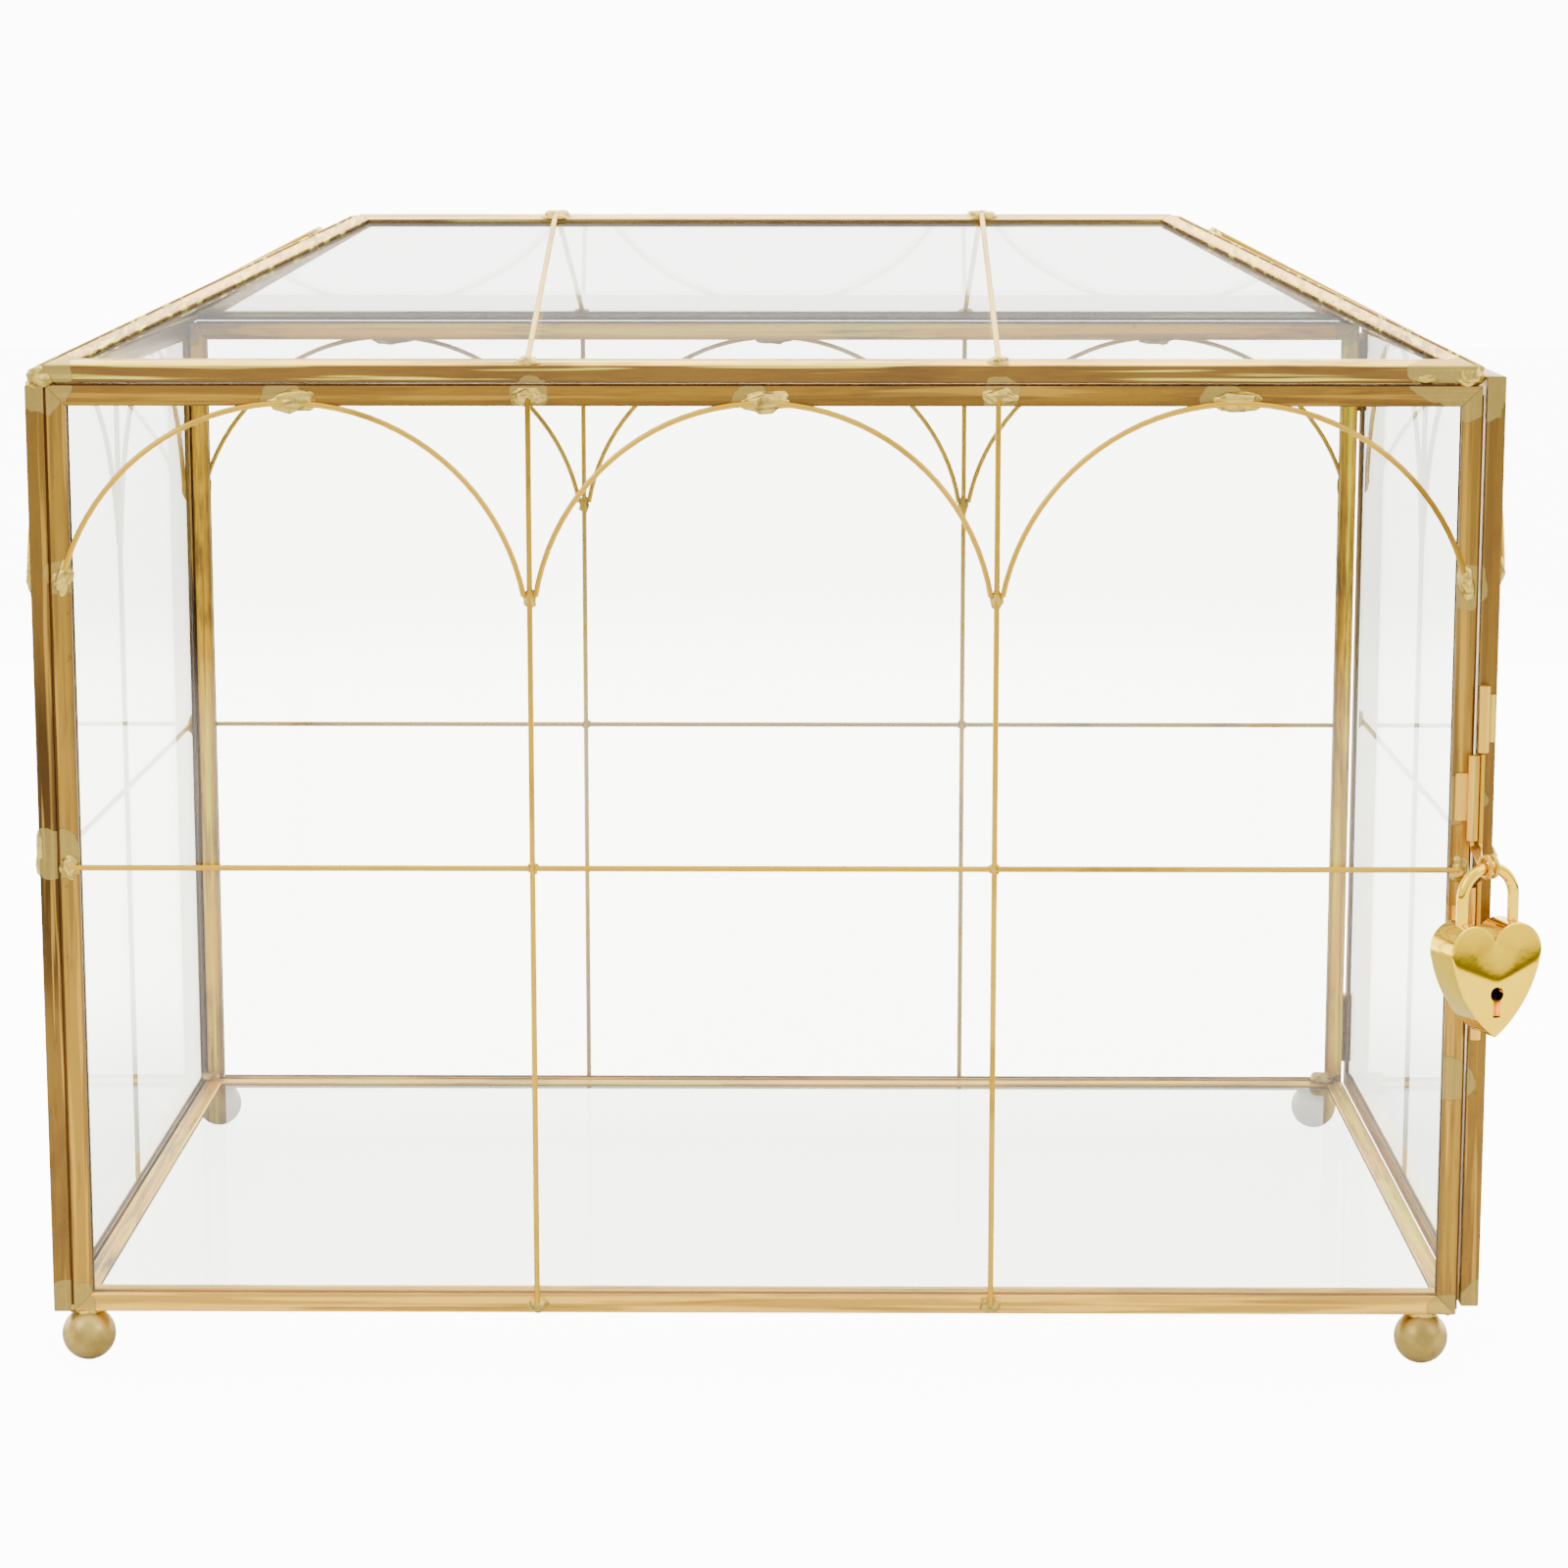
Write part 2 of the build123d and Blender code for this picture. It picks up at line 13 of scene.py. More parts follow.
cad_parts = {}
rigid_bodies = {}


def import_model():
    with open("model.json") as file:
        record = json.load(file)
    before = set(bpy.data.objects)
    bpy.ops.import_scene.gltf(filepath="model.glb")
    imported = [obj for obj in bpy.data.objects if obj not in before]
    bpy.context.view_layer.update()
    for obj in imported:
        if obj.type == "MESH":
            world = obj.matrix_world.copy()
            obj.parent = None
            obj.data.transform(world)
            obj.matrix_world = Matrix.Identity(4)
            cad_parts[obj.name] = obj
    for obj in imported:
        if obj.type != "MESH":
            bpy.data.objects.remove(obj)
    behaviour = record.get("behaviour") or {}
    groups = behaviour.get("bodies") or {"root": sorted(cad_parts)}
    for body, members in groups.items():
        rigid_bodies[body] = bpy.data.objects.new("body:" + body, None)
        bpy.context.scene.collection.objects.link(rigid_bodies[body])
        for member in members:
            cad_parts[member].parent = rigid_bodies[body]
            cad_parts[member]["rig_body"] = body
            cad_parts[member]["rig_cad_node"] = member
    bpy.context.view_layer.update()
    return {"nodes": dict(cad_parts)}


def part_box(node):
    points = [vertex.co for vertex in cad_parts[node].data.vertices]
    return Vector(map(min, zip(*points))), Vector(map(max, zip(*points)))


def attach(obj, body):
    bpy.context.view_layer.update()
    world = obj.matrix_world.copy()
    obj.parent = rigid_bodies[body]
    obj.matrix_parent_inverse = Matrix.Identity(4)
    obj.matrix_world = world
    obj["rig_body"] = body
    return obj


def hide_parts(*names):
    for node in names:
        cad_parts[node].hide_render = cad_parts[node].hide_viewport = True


log = logging.getLogger("card_box")
Triple = tuple[float, float, float]
MM = 0.001
TOUCH = 1e-5

# Waves a metre of the patterns on the brass, from broad clouds to the finest scratches; the highlight lines among
# them are painted highlights.
RIPPLES = 7.0
DARKER_LINES = 12.0
HIGHLIGHT_LINES = 16.0
CLOUDS = 26.0
STREAKS = 120.0
RAGGED_EDGES = 170.0
FRECKLES = 420.0
MOTTLING = 700.0
SCRATCHES = 900.0

# How bright the sharp reflections in the panes are: of the far wall at most, and elsewhere.
PANE_GLARE = 6.5
PANE_LEAST = 1.1


class Run(Enum):
    """Which way the drawing marks of a brass strip run."""

    LEVEL = (1.0, 12.0, 12.0)
    DEEP = (12.0, 1.0, 12.0)
    UPRIGHT = (12.0, 12.0, 1.0)


class Graph:
    """Builds one material's nodes."""

    def __init__(self, name: str, world: bpy.types.World | None = None) -> None:
        """Starts an empty material, or empties a world's nodes.

        Args:
            name: the material's name.
            world: the world to build instead of a material.
        """
        self.owner = world or bpy.data.materials.new(name)
        self.owner.use_nodes = True
        self.tree = self.owner.node_tree
        self.tree.nodes.clear()

    def node(self, kind: str, settings: dict | None = None, **sockets: object) -> bpy.types.Node:
        """Adds a node.

        Args:
            kind: the node's type name.
            settings: its properties, set before its sockets.
            **sockets: values or links, by socket name with spaces as underscores.

        Returns:
            The node.
        """
        made = self.tree.nodes.new(kind)
        for key, value in (settings or {}).items():
            if key == "stops":
                self.set_stops(made, value)
            else:
                setattr(made, key, value)
        for key, value in sockets.items():
            self.feed(self.socket_of(made, key), value)
        return made

    @staticmethod
    def socket_of(made: bpy.types.Node, key: str) -> bpy.types.NodeSocket:
        """Finds an input by its number, as i0 or i1, or by its name."""
        if key[0] == "i" and key[1:].isdigit():
            return made.inputs[int(key[1:])]
        wanted = key.replace("_", " ")
        usable = [s for s in made.inputs if s.name == wanted and s.enabled]
        return usable[0]

    @staticmethod
    def set_stops(made: bpy.types.Node, stops: list[tuple[float, tuple]]) -> None:
        """Lays out a colour ramp's stops."""
        ramp = made.color_ramp
        while len(ramp.elements) < len(stops):
            ramp.elements.new(0.5)
        for element, (place, colour) in zip(ramp.elements, stops):
            element.position = place
            element.color = (*colour, 1.0)

    def feed(self, socket: bpy.types.NodeSocket, value: object) -> None:
        """Links a wire to a socket or sets its value."""
        if isinstance(value, Wire):
            self.tree.links.new(value.socket, socket)
        elif isinstance(value, bpy.types.NodeSocket):
            self.tree.links.new(value, socket)
        elif isinstance(value, (tuple, Vector)) and socket.type == "RGBA":
            socket.default_value = (*value[:3], 1.0)
        else:
            socket.default_value = value

    def place(self) -> bpy.types.NodeSocket:
        """The object's own coordinates, in metres."""
        return self.node("ShaderNodeTexCoord").outputs["Object"]

    def stretched(self, run: Run, draw: float = 1.0) -> bpy.types.NodeSocket:
        """Coordinates squeezed so that a pattern draws out along one direction."""
        scale = tuple(share * draw if share > 1.0 else share for share in run.value)
        return self.node("ShaderNodeMapping", Vector=self.place(), Scale=scale).outputs[0]

    def grain(self, where: bpy.types.NodeSocket, scale: float, detail: float = 3.0, seed: float = 0.0) -> "Wire":
        """A noise pattern from 0 to 1.

        Args:
            where: the coordinates it reads.
            scale: waves a metre.
            detail: how many octaves.
            seed: moves the pattern, so that two pieces differ.

        Returns:
            The pattern as a wire.
        """
        moved = self.vector("ADD", where, (seed, seed * 1.7, seed * 0.6))
        made = self.node("ShaderNodeTexNoise", Vector=moved, Scale=scale, Detail=detail)
        return Wire(self, made.outputs[0])

    def blend(self, share: "Wire | float", first: "Wire | tuple", second: "Wire | tuple") -> "Wire":
        """Mixes two colours by a share from 0 to 1."""
        made = self.node("ShaderNodeMix", {"data_type": "RGBA"})
        self.feed(made.inputs[0], share)
        self.feed(made.inputs[6], first)
        self.feed(made.inputs[7], second)
        return Wire(self, made.outputs[2])

    def vector(self, operation: str, first: object, second: object, output: int = 0) -> bpy.types.NodeSocket:
        """One Vector Math node on two vectors."""
        return self.node("ShaderNodeVectorMath", {"operation": operation}, i0=first, i1=second).outputs[output]

    def part(self, where: bpy.types.NodeSocket, axis: int) -> "Wire":
        """One number of a vector: 0 for x, 1 for y, 2 for z."""
        return Wire(self, self.node("ShaderNodeSeparateXYZ", Vector=where).outputs[axis])

    def step(self, value: "Wire", low: float, high: float) -> "Wire":
        """A smooth rise from 0 at low to 1 at high."""
        made = self.node("ShaderNodeMapRange", {"interpolation_type": "SMOOTHSTEP"}, i0=value, i1=low, i2=high)
        return Wire(self, made.outputs[0])

    def bump(self, height: "Wire", strength: float, distance: float) -> bpy.types.NodeSocket:
        """A normal that follows a height pattern."""
        return self.node("ShaderNodeBump", Height=height, Strength=strength, Distance=distance).outputs[0]

    def metal(
        self, tone: "Wire", rough: "Wire", height: "Wire", strength: float, distance: float
    ) -> bpy.types.Material:
        """Ends the graph as bare metal.

        Args:
            tone: its colour.
            rough: its roughness.
            height: the pattern that its surface follows.
            strength: how much of that pattern shows, from 0 to 1.
            distance: how high the pattern stands, in metres.

        Returns:
            The material.
        """
        normal = self.bump(height, strength, distance)
        made = self.node("ShaderNodeBsdfPrincipled", Base_Color=tone, Metallic=1.0, Roughness=rough, Normal=normal)
        return self.output(made.outputs[0])

    def output(self, shader: bpy.types.NodeSocket) -> bpy.types.Material:
        """Ends the graph."""
        self.node("ShaderNodeOutputMaterial", Surface=shader)
        return self.owner


class Wire:
    """A number that flows between nodes, with Python's own operators."""

    def __init__(self, graph: Graph, socket: bpy.types.NodeSocket) -> None:
        """Wraps a socket."""
        self.graph = graph
        self.socket = socket

    def _maths(self, operation: str, first: object, second: object = 0.0, clamp: bool = False) -> "Wire":
        """One Math node on two values."""
        made = self.graph.node("ShaderNodeMath", {"operation": operation, "use_clamp": clamp}, i0=first, i1=second)
        return Wire(self.graph, made.outputs[0])

    def __add__(self, other: "Wire | float") -> "Wire":
        """Sum."""
        return self._maths("ADD", self, other)

    def __radd__(self, other: "Wire | float") -> "Wire":
        """Sum, reflected."""
        return self._maths("ADD", other, self)

    def __sub__(self, other: "Wire | float") -> "Wire":
        """Difference."""
        return self._maths("SUBTRACT", self, other)

    def __rsub__(self, other: "Wire | float") -> "Wire":
        """Difference, reflected."""
        return self._maths("SUBTRACT", other, self)

    def __mul__(self, other: "Wire | float") -> "Wire":
        """Product."""
        return self._maths("MULTIPLY", self, other)

    def __rmul__(self, other: "Wire | float") -> "Wire":
        """Product, reflected."""
        return self._maths("MULTIPLY", other, self)

    def most(self, other: "Wire | float") -> "Wire":
        """The larger of the two."""
        return self._maths("MAXIMUM", self, other)

    def least(self, other: "Wire | float") -> "Wire":
        """The smaller of the two."""
        return self._maths("MINIMUM", self, other)

    def held(self) -> "Wire":
        """Kept from 0 to 1."""
        return self._maths("ADD", self, 0.0, clamp=True)


@dataclass(frozen=True)
class Stain:
    """A film of solder round a joint: where it is, in metres, and how far it spread."""

    centre: Triple
    radius: float


@dataclass(frozen=True)
class CameBrass:
    """Rolled brass channel with heat-browned patina, drawing marks and films of solder, with painted shade on its
    lip, fold and web, painted highlight lines and painted floor light near its foot.
    """

    name: str
    run: Run
    light: Triple = (0.80, 0.46, 0.055)
    dark: Triple = (0.160, 0.084, 0.026)
    burnt: Triple = (0.055, 0.028, 0.010)
    film: Triple = (0.42, 0.315, 0.085)
    tarnish: float = 0.35
    burn: tuple[float, float] | None = None
    facing: Triple | None = None
    # How much of its tone the web keeps: below 1 the web takes painted shade.
    web: float = 1.0
    sides: tuple[tuple[Triple, Triple], ...] = ()
    flange: float = 0.0042
    # Painted light: how much lighter the strip's lowest part is drawn, between the two heights below.
    floor_light_gain: float = 1.0
    floor_light_heights: tuple[float, float] = (0.03, 0.17)
    base_roughness: float = 0.27
    # Painted highlight: how strongly the bright lines show.
    highlight_share: float = 0.6
    darker_line_share: float = 0.5
    film_cover: float = 0.66
    stains: tuple[Stain, ...] = ()
    seed: float = 0.0

    def make(self) -> bpy.types.Material:
        """Builds the material.

        Returns:
            Brass whose tone wanders along each strip.
        """
        g = Graph(self.name)
        here = g.place()
        along = g.stretched(self.run)
        drawn = g.stretched(self.run, 4.0)
        cloud = g.grain(here, CLOUDS, 4.0, self.seed)
        streak = g.grain(along, STREAKS, 5.0, self.seed + 3.0)
        fine = g.grain(along, SCRATCHES, 2.0, self.seed + 5.0)
        wave = g.grain(drawn, RIPPLES, 2.0, self.seed + 14.0)
        tone = self.tarnished(g, here, cloud, streak)
        # Painted shade on the lip, the groove by the outer fold and the web.
        tone = self.folded(g, here, tone)
        # Painted light: the strip's lowest part drawn lighter, for the bright floor mirrored in it.
        if self.floor_light_gain != 1.0:
            tone = g.blend(g.step(g.part(here, 2), *self.floor_light_heights), self.lighter(self.floor_light_gain), tone)
        if self.burn:
            tone = self.scorched(g, here, cloud, tone)
        rough = self.base_roughness + streak * 0.14 + cloud * 0.08
        height = streak * 0.6 + fine * 0.4 + wave * 3.5
        # Painted highlights: thin bright lines along the strip.
        shine = g.step(g.grain(drawn, HIGHLIGHT_LINES, 2.0, self.seed + 17.0), 0.54, 0.62)
        # Thin darker lines along the strip.
        darker_lines = 1.0 - g.step(g.grain(drawn, DARKER_LINES, 2.0, self.seed + 19.0), 0.38, 0.46)
        tone = g.blend(shine * self.highlight_share, tone, self.lighter(1.7))
        tone = g.blend(darker_lines * self.darker_line_share, tone, self.dark)
        if self.stains:
            filmed = self.filmed(g, here)
            rim = filmed * (1.0 - filmed) * 3.0
            tone = g.blend(rim.held() * 0.8, tone, self.burnt)
            mottle = g.blend(g.grain(here, MOTTLING, 2.0, self.seed), self.film, tuple(0.82 * c for c in self.film))
            tone = g.blend(filmed * self.film_cover, tone, mottle)
            rough = rough + filmed * 0.12
            height = height + filmed * 1.4
        return g.metal(tone, rough, height, 0.25, 0.00012)

    def lighter(self, gain: float) -> tuple[float, ...]:
        """The light tone raised by a factor, no channel past 1."""
        return tuple(min(1.0, gain * c) for c in self.light)

    def tarnished(self, g: Graph, here: bpy.types.NodeSocket, cloud: Wire, streak: Wire) -> Wire:
        """The bare tone: light brass browned in clouds, streaks and freckles."""
        share = g.step(cloud * 0.65 + streak * 0.35, 0.62 - self.tarnish * 0.5, 0.72)
        freckle = g.step(g.grain(here, FRECKLES, 2.0, self.seed + 8.0), 0.70, 0.78)
        return g.blend(freckle * 0.45, g.blend(share, self.light, self.dark), self.dark)

    def folded(self, g: Graph, here: bpy.types.NodeSocket, tone: Wire) -> Wire:
        """Paints shade on the channel: darkens its lip, the groove by its outer fold, and its web where it turns away
        from the pane's face.
        """
        if self.sides:
            # Painted shade: the lip and the groove by the outer fold drawn darker.
            across = self.across(g, here)
            lip = g.step(across, self.flange * 0.60, self.flange * 1.02)
            fold = 1.0 - g.step(across, 0.0002, 0.0009)
            tone = g.blend((lip * 0.62).most(fold * 0.30), tone, self.dark)
        # Painted shade: faces turned away from the pane's face, the web, drawn darker.
        if self.facing:
            turned = g.node("ShaderNodeNewGeometry").outputs["True Normal"]
            front = Wire(g, g.vector("DOT_PRODUCT", turned, self.facing, 1))
            side = 1.0 - g.step(front, 0.35, 0.8)
            tone = g.blend(side * (1.0 - self.web), tone, tuple(0.8 * c for c in self.dark))
        return tone

    def scorched(self, g: Graph, here: bpy.types.NodeSocket, cloud: Wire, tone: Wire) -> Wire:
        """Blackens the strip between the two heights of its burn, in metres."""
        height = g.part(here, 2) + (cloud - 0.5) * 0.05
        rise = g.step(height, self.burn[0] - 0.02, self.burn[0] + 0.016)
        fall = 1.0 - g.step(height, self.burn[1] - 0.016, self.burn[1] + 0.02)
        return g.blend(rise * fall * 0.86, tone, self.burnt)

    def filmed(self, g: Graph, here: bpy.types.NodeSocket) -> Wire:
        """Where films of solder lie, with ragged edges."""
        ragged = g.grain(here, RAGGED_EDGES, 3.0, self.seed + 11.0)
        found = None
        for stain in self.stains:
            near = Wire(g, g.vector("DISTANCE", here, stain.centre, 1)) + (ragged - 0.5) * (stain.radius * 1.1)
            inside = 1.0 - g.step(near, stain.radius * 0.94, stain.radius)
            found = inside if found is None else found.most(inside)
        return found

    def across(self, g: Graph, here: bpy.types.NodeSocket) -> Wire:
        """How far a place lies in from the channel's outer fold, in metres."""
        nearest = None
        for point, inward in self.sides:
            gap = Wire(g, g.vector("DOT_PRODUCT", g.vector("SUBTRACT", here, point), inward, 1))
            nearest = gap if nearest is None else nearest.least(gap)
        return nearest


@dataclass(frozen=True)
class DrawnWire:
    """Thin brass wire, light brass browned in clouds."""

    name: str
    light: Triple = (0.62, 0.36, 0.02)
    dark: Triple = (0.26, 0.13, 0.01)
    tarnish: float = 0.35

    def make(self) -> bpy.types.Material:
        """Builds the material."""
        g = Graph(self.name)
        here = g.place()
        cloud = g.grain(here, 32.0, 3.0, 2.0)
        fine = g.grain(here, 900.0, 2.0, 4.0)
        tone = g.blend(g.step(cloud, 0.66 - self.tarnish * 0.4, 0.74), self.light, self.dark)
        return g.metal(tone, 0.22 + fine * 0.18, fine, 0.12, 0.00008)


@dataclass(frozen=True)
class SoftSolder:
    """Pale gold solder, lumpy and a little dull."""

    name: str
    light: Triple = (0.60, 0.43, 0.09)
    dark: Triple = (0.30, 0.20, 0.04)

    def make(self) -> bpy.types.Material:
        """Builds the material."""
        g = Graph(self.name)
        here = g.place()
        lump = g.grain(here, 480.0, 3.0, 1.0)
        fine = g.grain(here, 1900.0, 2.0, 6.0)
        tone = g.blend(g.step(lump, 0.42, 0.70), self.light, self.dark)
        return g.metal(tone, 0.24 + fine * 0.2, lump + fine * 0.3, 0.4, 0.0003)


@dataclass(frozen=True)
class SatinBall:
    """Lacquered brass balls with a soft, slightly scuffed sheen."""

    name: str
    light: Triple = (0.44, 0.31, 0.08)
    dark: Triple = (0.29, 0.19, 0.05)

    def make(self) -> bpy.types.Material:
        """Builds the material."""
        g = Graph(self.name)
        here = g.place()
        cloud = g.grain(here, 150.0, 4.0, 7.0)
        fine = g.grain(here, 1500.0, 2.0, 9.0)
        tone = g.blend(g.step(cloud, 0.40, 0.66), self.light, self.dark)
        return g.metal(tone, 0.30 + fine * 0.12, fine, 0.1, 0.00006)


@dataclass(frozen=True)
class MirrorGold:
    """Bright plated gold, with the faintest orange peel."""

    name: str
    light: Triple = (1.0, 0.66, 0.01)
    dark: Triple = (0.95, 0.58, 0.005)
    base_roughness: float = 0.07

    def make(self) -> bpy.types.Material:
        """Builds the material."""
        g = Graph(self.name)
        here = g.place()
        cloud = g.grain(here, 180.0, 2.0, 3.0)
        peel = g.grain(here, 700.0, 2.0, 5.0)
        tone = g.blend(cloud, self.light, self.dark)
        return g.metal(tone, self.base_roughness + cloud * 0.05, peel, 0.05, 0.0001)


@dataclass(frozen=True)
class FloatGlass:
    """Clear window glass, a breath of green in it, that lets light fall through."""

    name: str
    tint: Triple = (0.86, 0.88, 0.845)
    shadow: Triple = (0.94, 0.95, 0.94)
    waves: float = 9.0

    def make(self) -> bpy.types.Material:
        """Builds the material."""
        g = Graph(self.name)
        here = g.place()
        wave = g.grain(here, self.waves, 2.0, 4.0)
        pane = g.node(
            "ShaderNodeBsdfPrincipled",
            Base_Color=g.blend(wave, self.tint, tuple(0.985 * c for c in self.tint)),
            Roughness=0.0,
            IOR=1.5,
            Transmission_Weight=1.0,
        )
        clear = g.node("ShaderNodeBsdfTransparent", Color=self.shadow)
        lamp_ray = g.node("ShaderNodeLightPath").outputs["Is Shadow Ray"]
        mixed = g.node("ShaderNodeMixShader", i0=lamp_ray, i1=pane.outputs[0], i2=clear.outputs[0])
        return g.output(mixed.outputs[0])


@dataclass(frozen=True)
class StudioFloor:
    """A pale seamless floor that stays white and takes only a soft shadow."""

    name: str = "studio_floor"
    glow: float = 11.0
    near: Triple = (0.66, 0.66, 0.65)
    far: Triple = (0.04, 0.04, 0.04)
    fade: tuple[float, float] = (0.9, 1.3)

    def make(self) -> bpy.types.Material:
        """Builds the material."""
        g = Graph(self.name)
        path = g.node("ShaderNodeLightPath")
        bounces = Wire(g, path.outputs["Ray Depth"]) - Wire(g, path.outputs["Transmission Depth"])
        seen = 1.0 - g.step(bounces, 0.4, 0.6)
        here = g.place()
        away = g.step(Wire(g, g.vector("DISTANCE", here, (0.0, 0.0, 0.0), 1)), *self.fade)
        behind = g.step(g.part(here, 1), 0.1, 0.3)
        pane = Wire(g, path.outputs["Is Singular Ray"]) * Wire(g, path.outputs["Is Glossy Ray"]) * behind
        matte = g.node("ShaderNodeBsdfDiffuse", Color=g.blend(away, self.near, self.far))
        strength = seen * self.glow + pane * PANE_GLARE
        shine = g.node("ShaderNodeEmission", Color=(1.0, 1.0, 0.99, 1.0), Strength=strength)
        both = g.node("ShaderNodeAddShader", i0=matte.outputs[0], i1=shine.outputs[0])
        return g.output(both.outputs[0])


class Bench:
    """Operator habits that every sub-assembly shares."""

    @staticmethod
    def active() -> bpy.types.Object | None:
        """The object that the operators work on."""
        return bpy.context.view_layer.objects.active

    @staticmethod
    def clear() -> None:
        """Leaves edit mode and selects nothing."""
        active = Bench.active()
        if active is not None and active.mode != "OBJECT":
            bpy.ops.object.mode_set(mode="OBJECT")
        bpy.ops.object.select_all(action="DESELECT")

    @staticmethod
    def take(piece: bpy.types.Object) -> None:
        """Selects one object alone."""
        Bench.clear()
        bpy.context.view_layer.objects.active = piece
        piece.select_set(True)

    @staticmethod
    def edit(piece: bpy.types.Object, chosen: Callable | None = None, kind: str = "VERT") -> None:
        """Opens a piece for editing with some of its parts selected.

        Args:
            piece: the object to open.
            chosen: a test on a vertex, edge or face, or None for all of it.
            kind: VERT, EDGE or FACE.
        """
        Bench.take(piece)
        bpy.ops.object.mode_set(mode="EDIT")
        bpy.ops.mesh.select_mode(type=kind)
        bpy.ops.mesh.select_all(action="SELECT" if chosen is None else "DESELECT")
        if chosen is None:
            return
        bpy.ops.object.mode_set(mode="OBJECT")
        parts = {"VERT": piece.data.vertices, "EDGE": piece.data.edges, "FACE": piece.data.polygons}[kind]
        for part in parts:
            part.select = bool(chosen(part))
        bpy.ops.object.mode_set(mode="EDIT")

    @staticmethod
    def done() -> bpy.types.Object:
        """Closes edit mode and returns the piece."""
        bpy.ops.object.mode_set(mode="OBJECT")
        return Bench.active()

    @staticmethod
    def settle(piece: bpy.types.Object) -> bpy.types.Object:
        """Bakes a piece's place, turn and size into its mesh."""
        Bench.take(piece)
        bpy.ops.object.transform_apply(location=True, rotation=True, scale=True)
        return piece

    @staticmethod
    def apply(piece: bpy.types.Object, kind: str, **settings: object) -> None:
        """Adds a modifier and applies it at once."""
        Bench.take(piece)
        modifier = piece.modifiers.new("step", kind)
        for key, value in settings.items():
            setattr(modifier, key, value)
        bpy.ops.object.modifier_apply(modifier=modifier.name)

    @staticmethod
    def smooth(piece: bpy.types.Object, degrees: float = 32.0) -> None:
        """Shades a piece smoothly but for its sharp edges."""
        Bench.take(piece)
        bpy.ops.object.shade_smooth_by_angle(angle=math.radians(degrees))

    @staticmethod
    def join(pieces: list[bpy.types.Object], name: str) -> bpy.types.Object:
        """Makes several meshes one object."""
        Bench.clear()
        for piece in pieces:
            piece.select_set(True)
        bpy.context.view_layer.objects.active = pieces[0]
        bpy.ops.object.join()
        joined = Bench.active()
        joined.name = name
        joined.data.name = name
        return joined

    @staticmethod
    def twin(piece: bpy.types.Object, matrix: Matrix) -> bpy.types.Object:
        """A copy with its own mesh, carried to a new place."""
        copy = piece.copy()
        copy.data = piece.data.copy()
        bpy.context.scene.collection.objects.link(copy)
        copy.data.transform(matrix)
        return copy

    @staticmethod
    def from_node(node: bpy.types.Object, name: str) -> bpy.types.Object:
        """A clean, merged copy of a frame node, ready to be shaped.

        Args:
            node: the frame's own object.
            name: what to call the copy.

        Returns:
            The copy, riding on nothing yet.
        """
        piece = node.copy()
        piece.data = node.data.copy()
        piece.name = name
        piece.data.name = name
        piece.parent = None
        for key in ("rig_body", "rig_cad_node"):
            del piece[key]
        bpy.context.scene.collection.objects.link(piece)
        Bench.take(piece)
        bpy.ops.mesh.customdata_custom_splitnormals_clear()
        Bench.edit(piece)
        bpy.ops.mesh.remove_doubles(threshold=0.000002)
        bpy.ops.mesh.dissolve_limited(angle_limit=math.radians(0.6))
        return Bench.done()

    @staticmethod
    def dress(piece: bpy.types.Object, material: bpy.types.Material) -> None:
        """Gives a piece one finish all over."""
        piece.data.materials.clear()
        piece.data.materials.append(material)

    @staticmethod
    def paint_node(node: bpy.types.Object, material: bpy.types.Material) -> None:
        """Gives a frame node one finish through its own slots."""
        for place in node.material_slots:
            place.link = "OBJECT"
            place.material = material


@dataclass
class Panel:
    """One framed pane: where its outer face lies and its outline, in metres."""

    name: str
    origin: Vector
    along: Vector
    up: Vector
    outline: list[tuple[float, float]]

    @property
    def out(self) -> Vector:
        """The way that the pane faces."""
        return self.along.cross(self.up)

    @property
    def width(self) -> float:
        """Length of the lower side."""
        return self.outline[1][0]

    def point(self, x: float, y: float, z: float = 0.0) -> Vector:
        """A place on the pane, in the row's frame."""
        return self.origin + self.along * x + self.up * y + self.out * z

    def local(self, place: Vector) -> Vector:
        """A place of the row's frame in the pane's own coordinates."""
        away = place - self.origin
        return Vector((away.dot(self.along), away.dot(self.up), away.dot(self.out)))

    def side(self, number: int) -> tuple[Triple, Triple]:
        """A point of one side of the outline and the way inwards from it."""
        x1, y1 = self.outline[number]
        x2, y2 = self.outline[(number + 1) % len(self.outline)]
        run = Vector((x2 - x1, y2 - y1)).normalized()
        inward = self.along * -run.y + self.up * run.x
        return tuple(self.point(x1, y1)), tuple(inward)

    def edge_distance(self, place: Vector) -> float:
        """How far a place lies inside the nearest side of the outline."""
        at = self.local(place)
        nearest = 1.0
        for i, (x1, y1) in enumerate(self.outline):
            x2, y2 = self.outline[(i + 1) % len(self.outline)]
            side = Vector((x2 - x1, y2 - y1)).normalized()
            nearest = min(nearest, abs(-side.y * (at.x - x1) + side.x * (at.y - y1)))
        return nearest


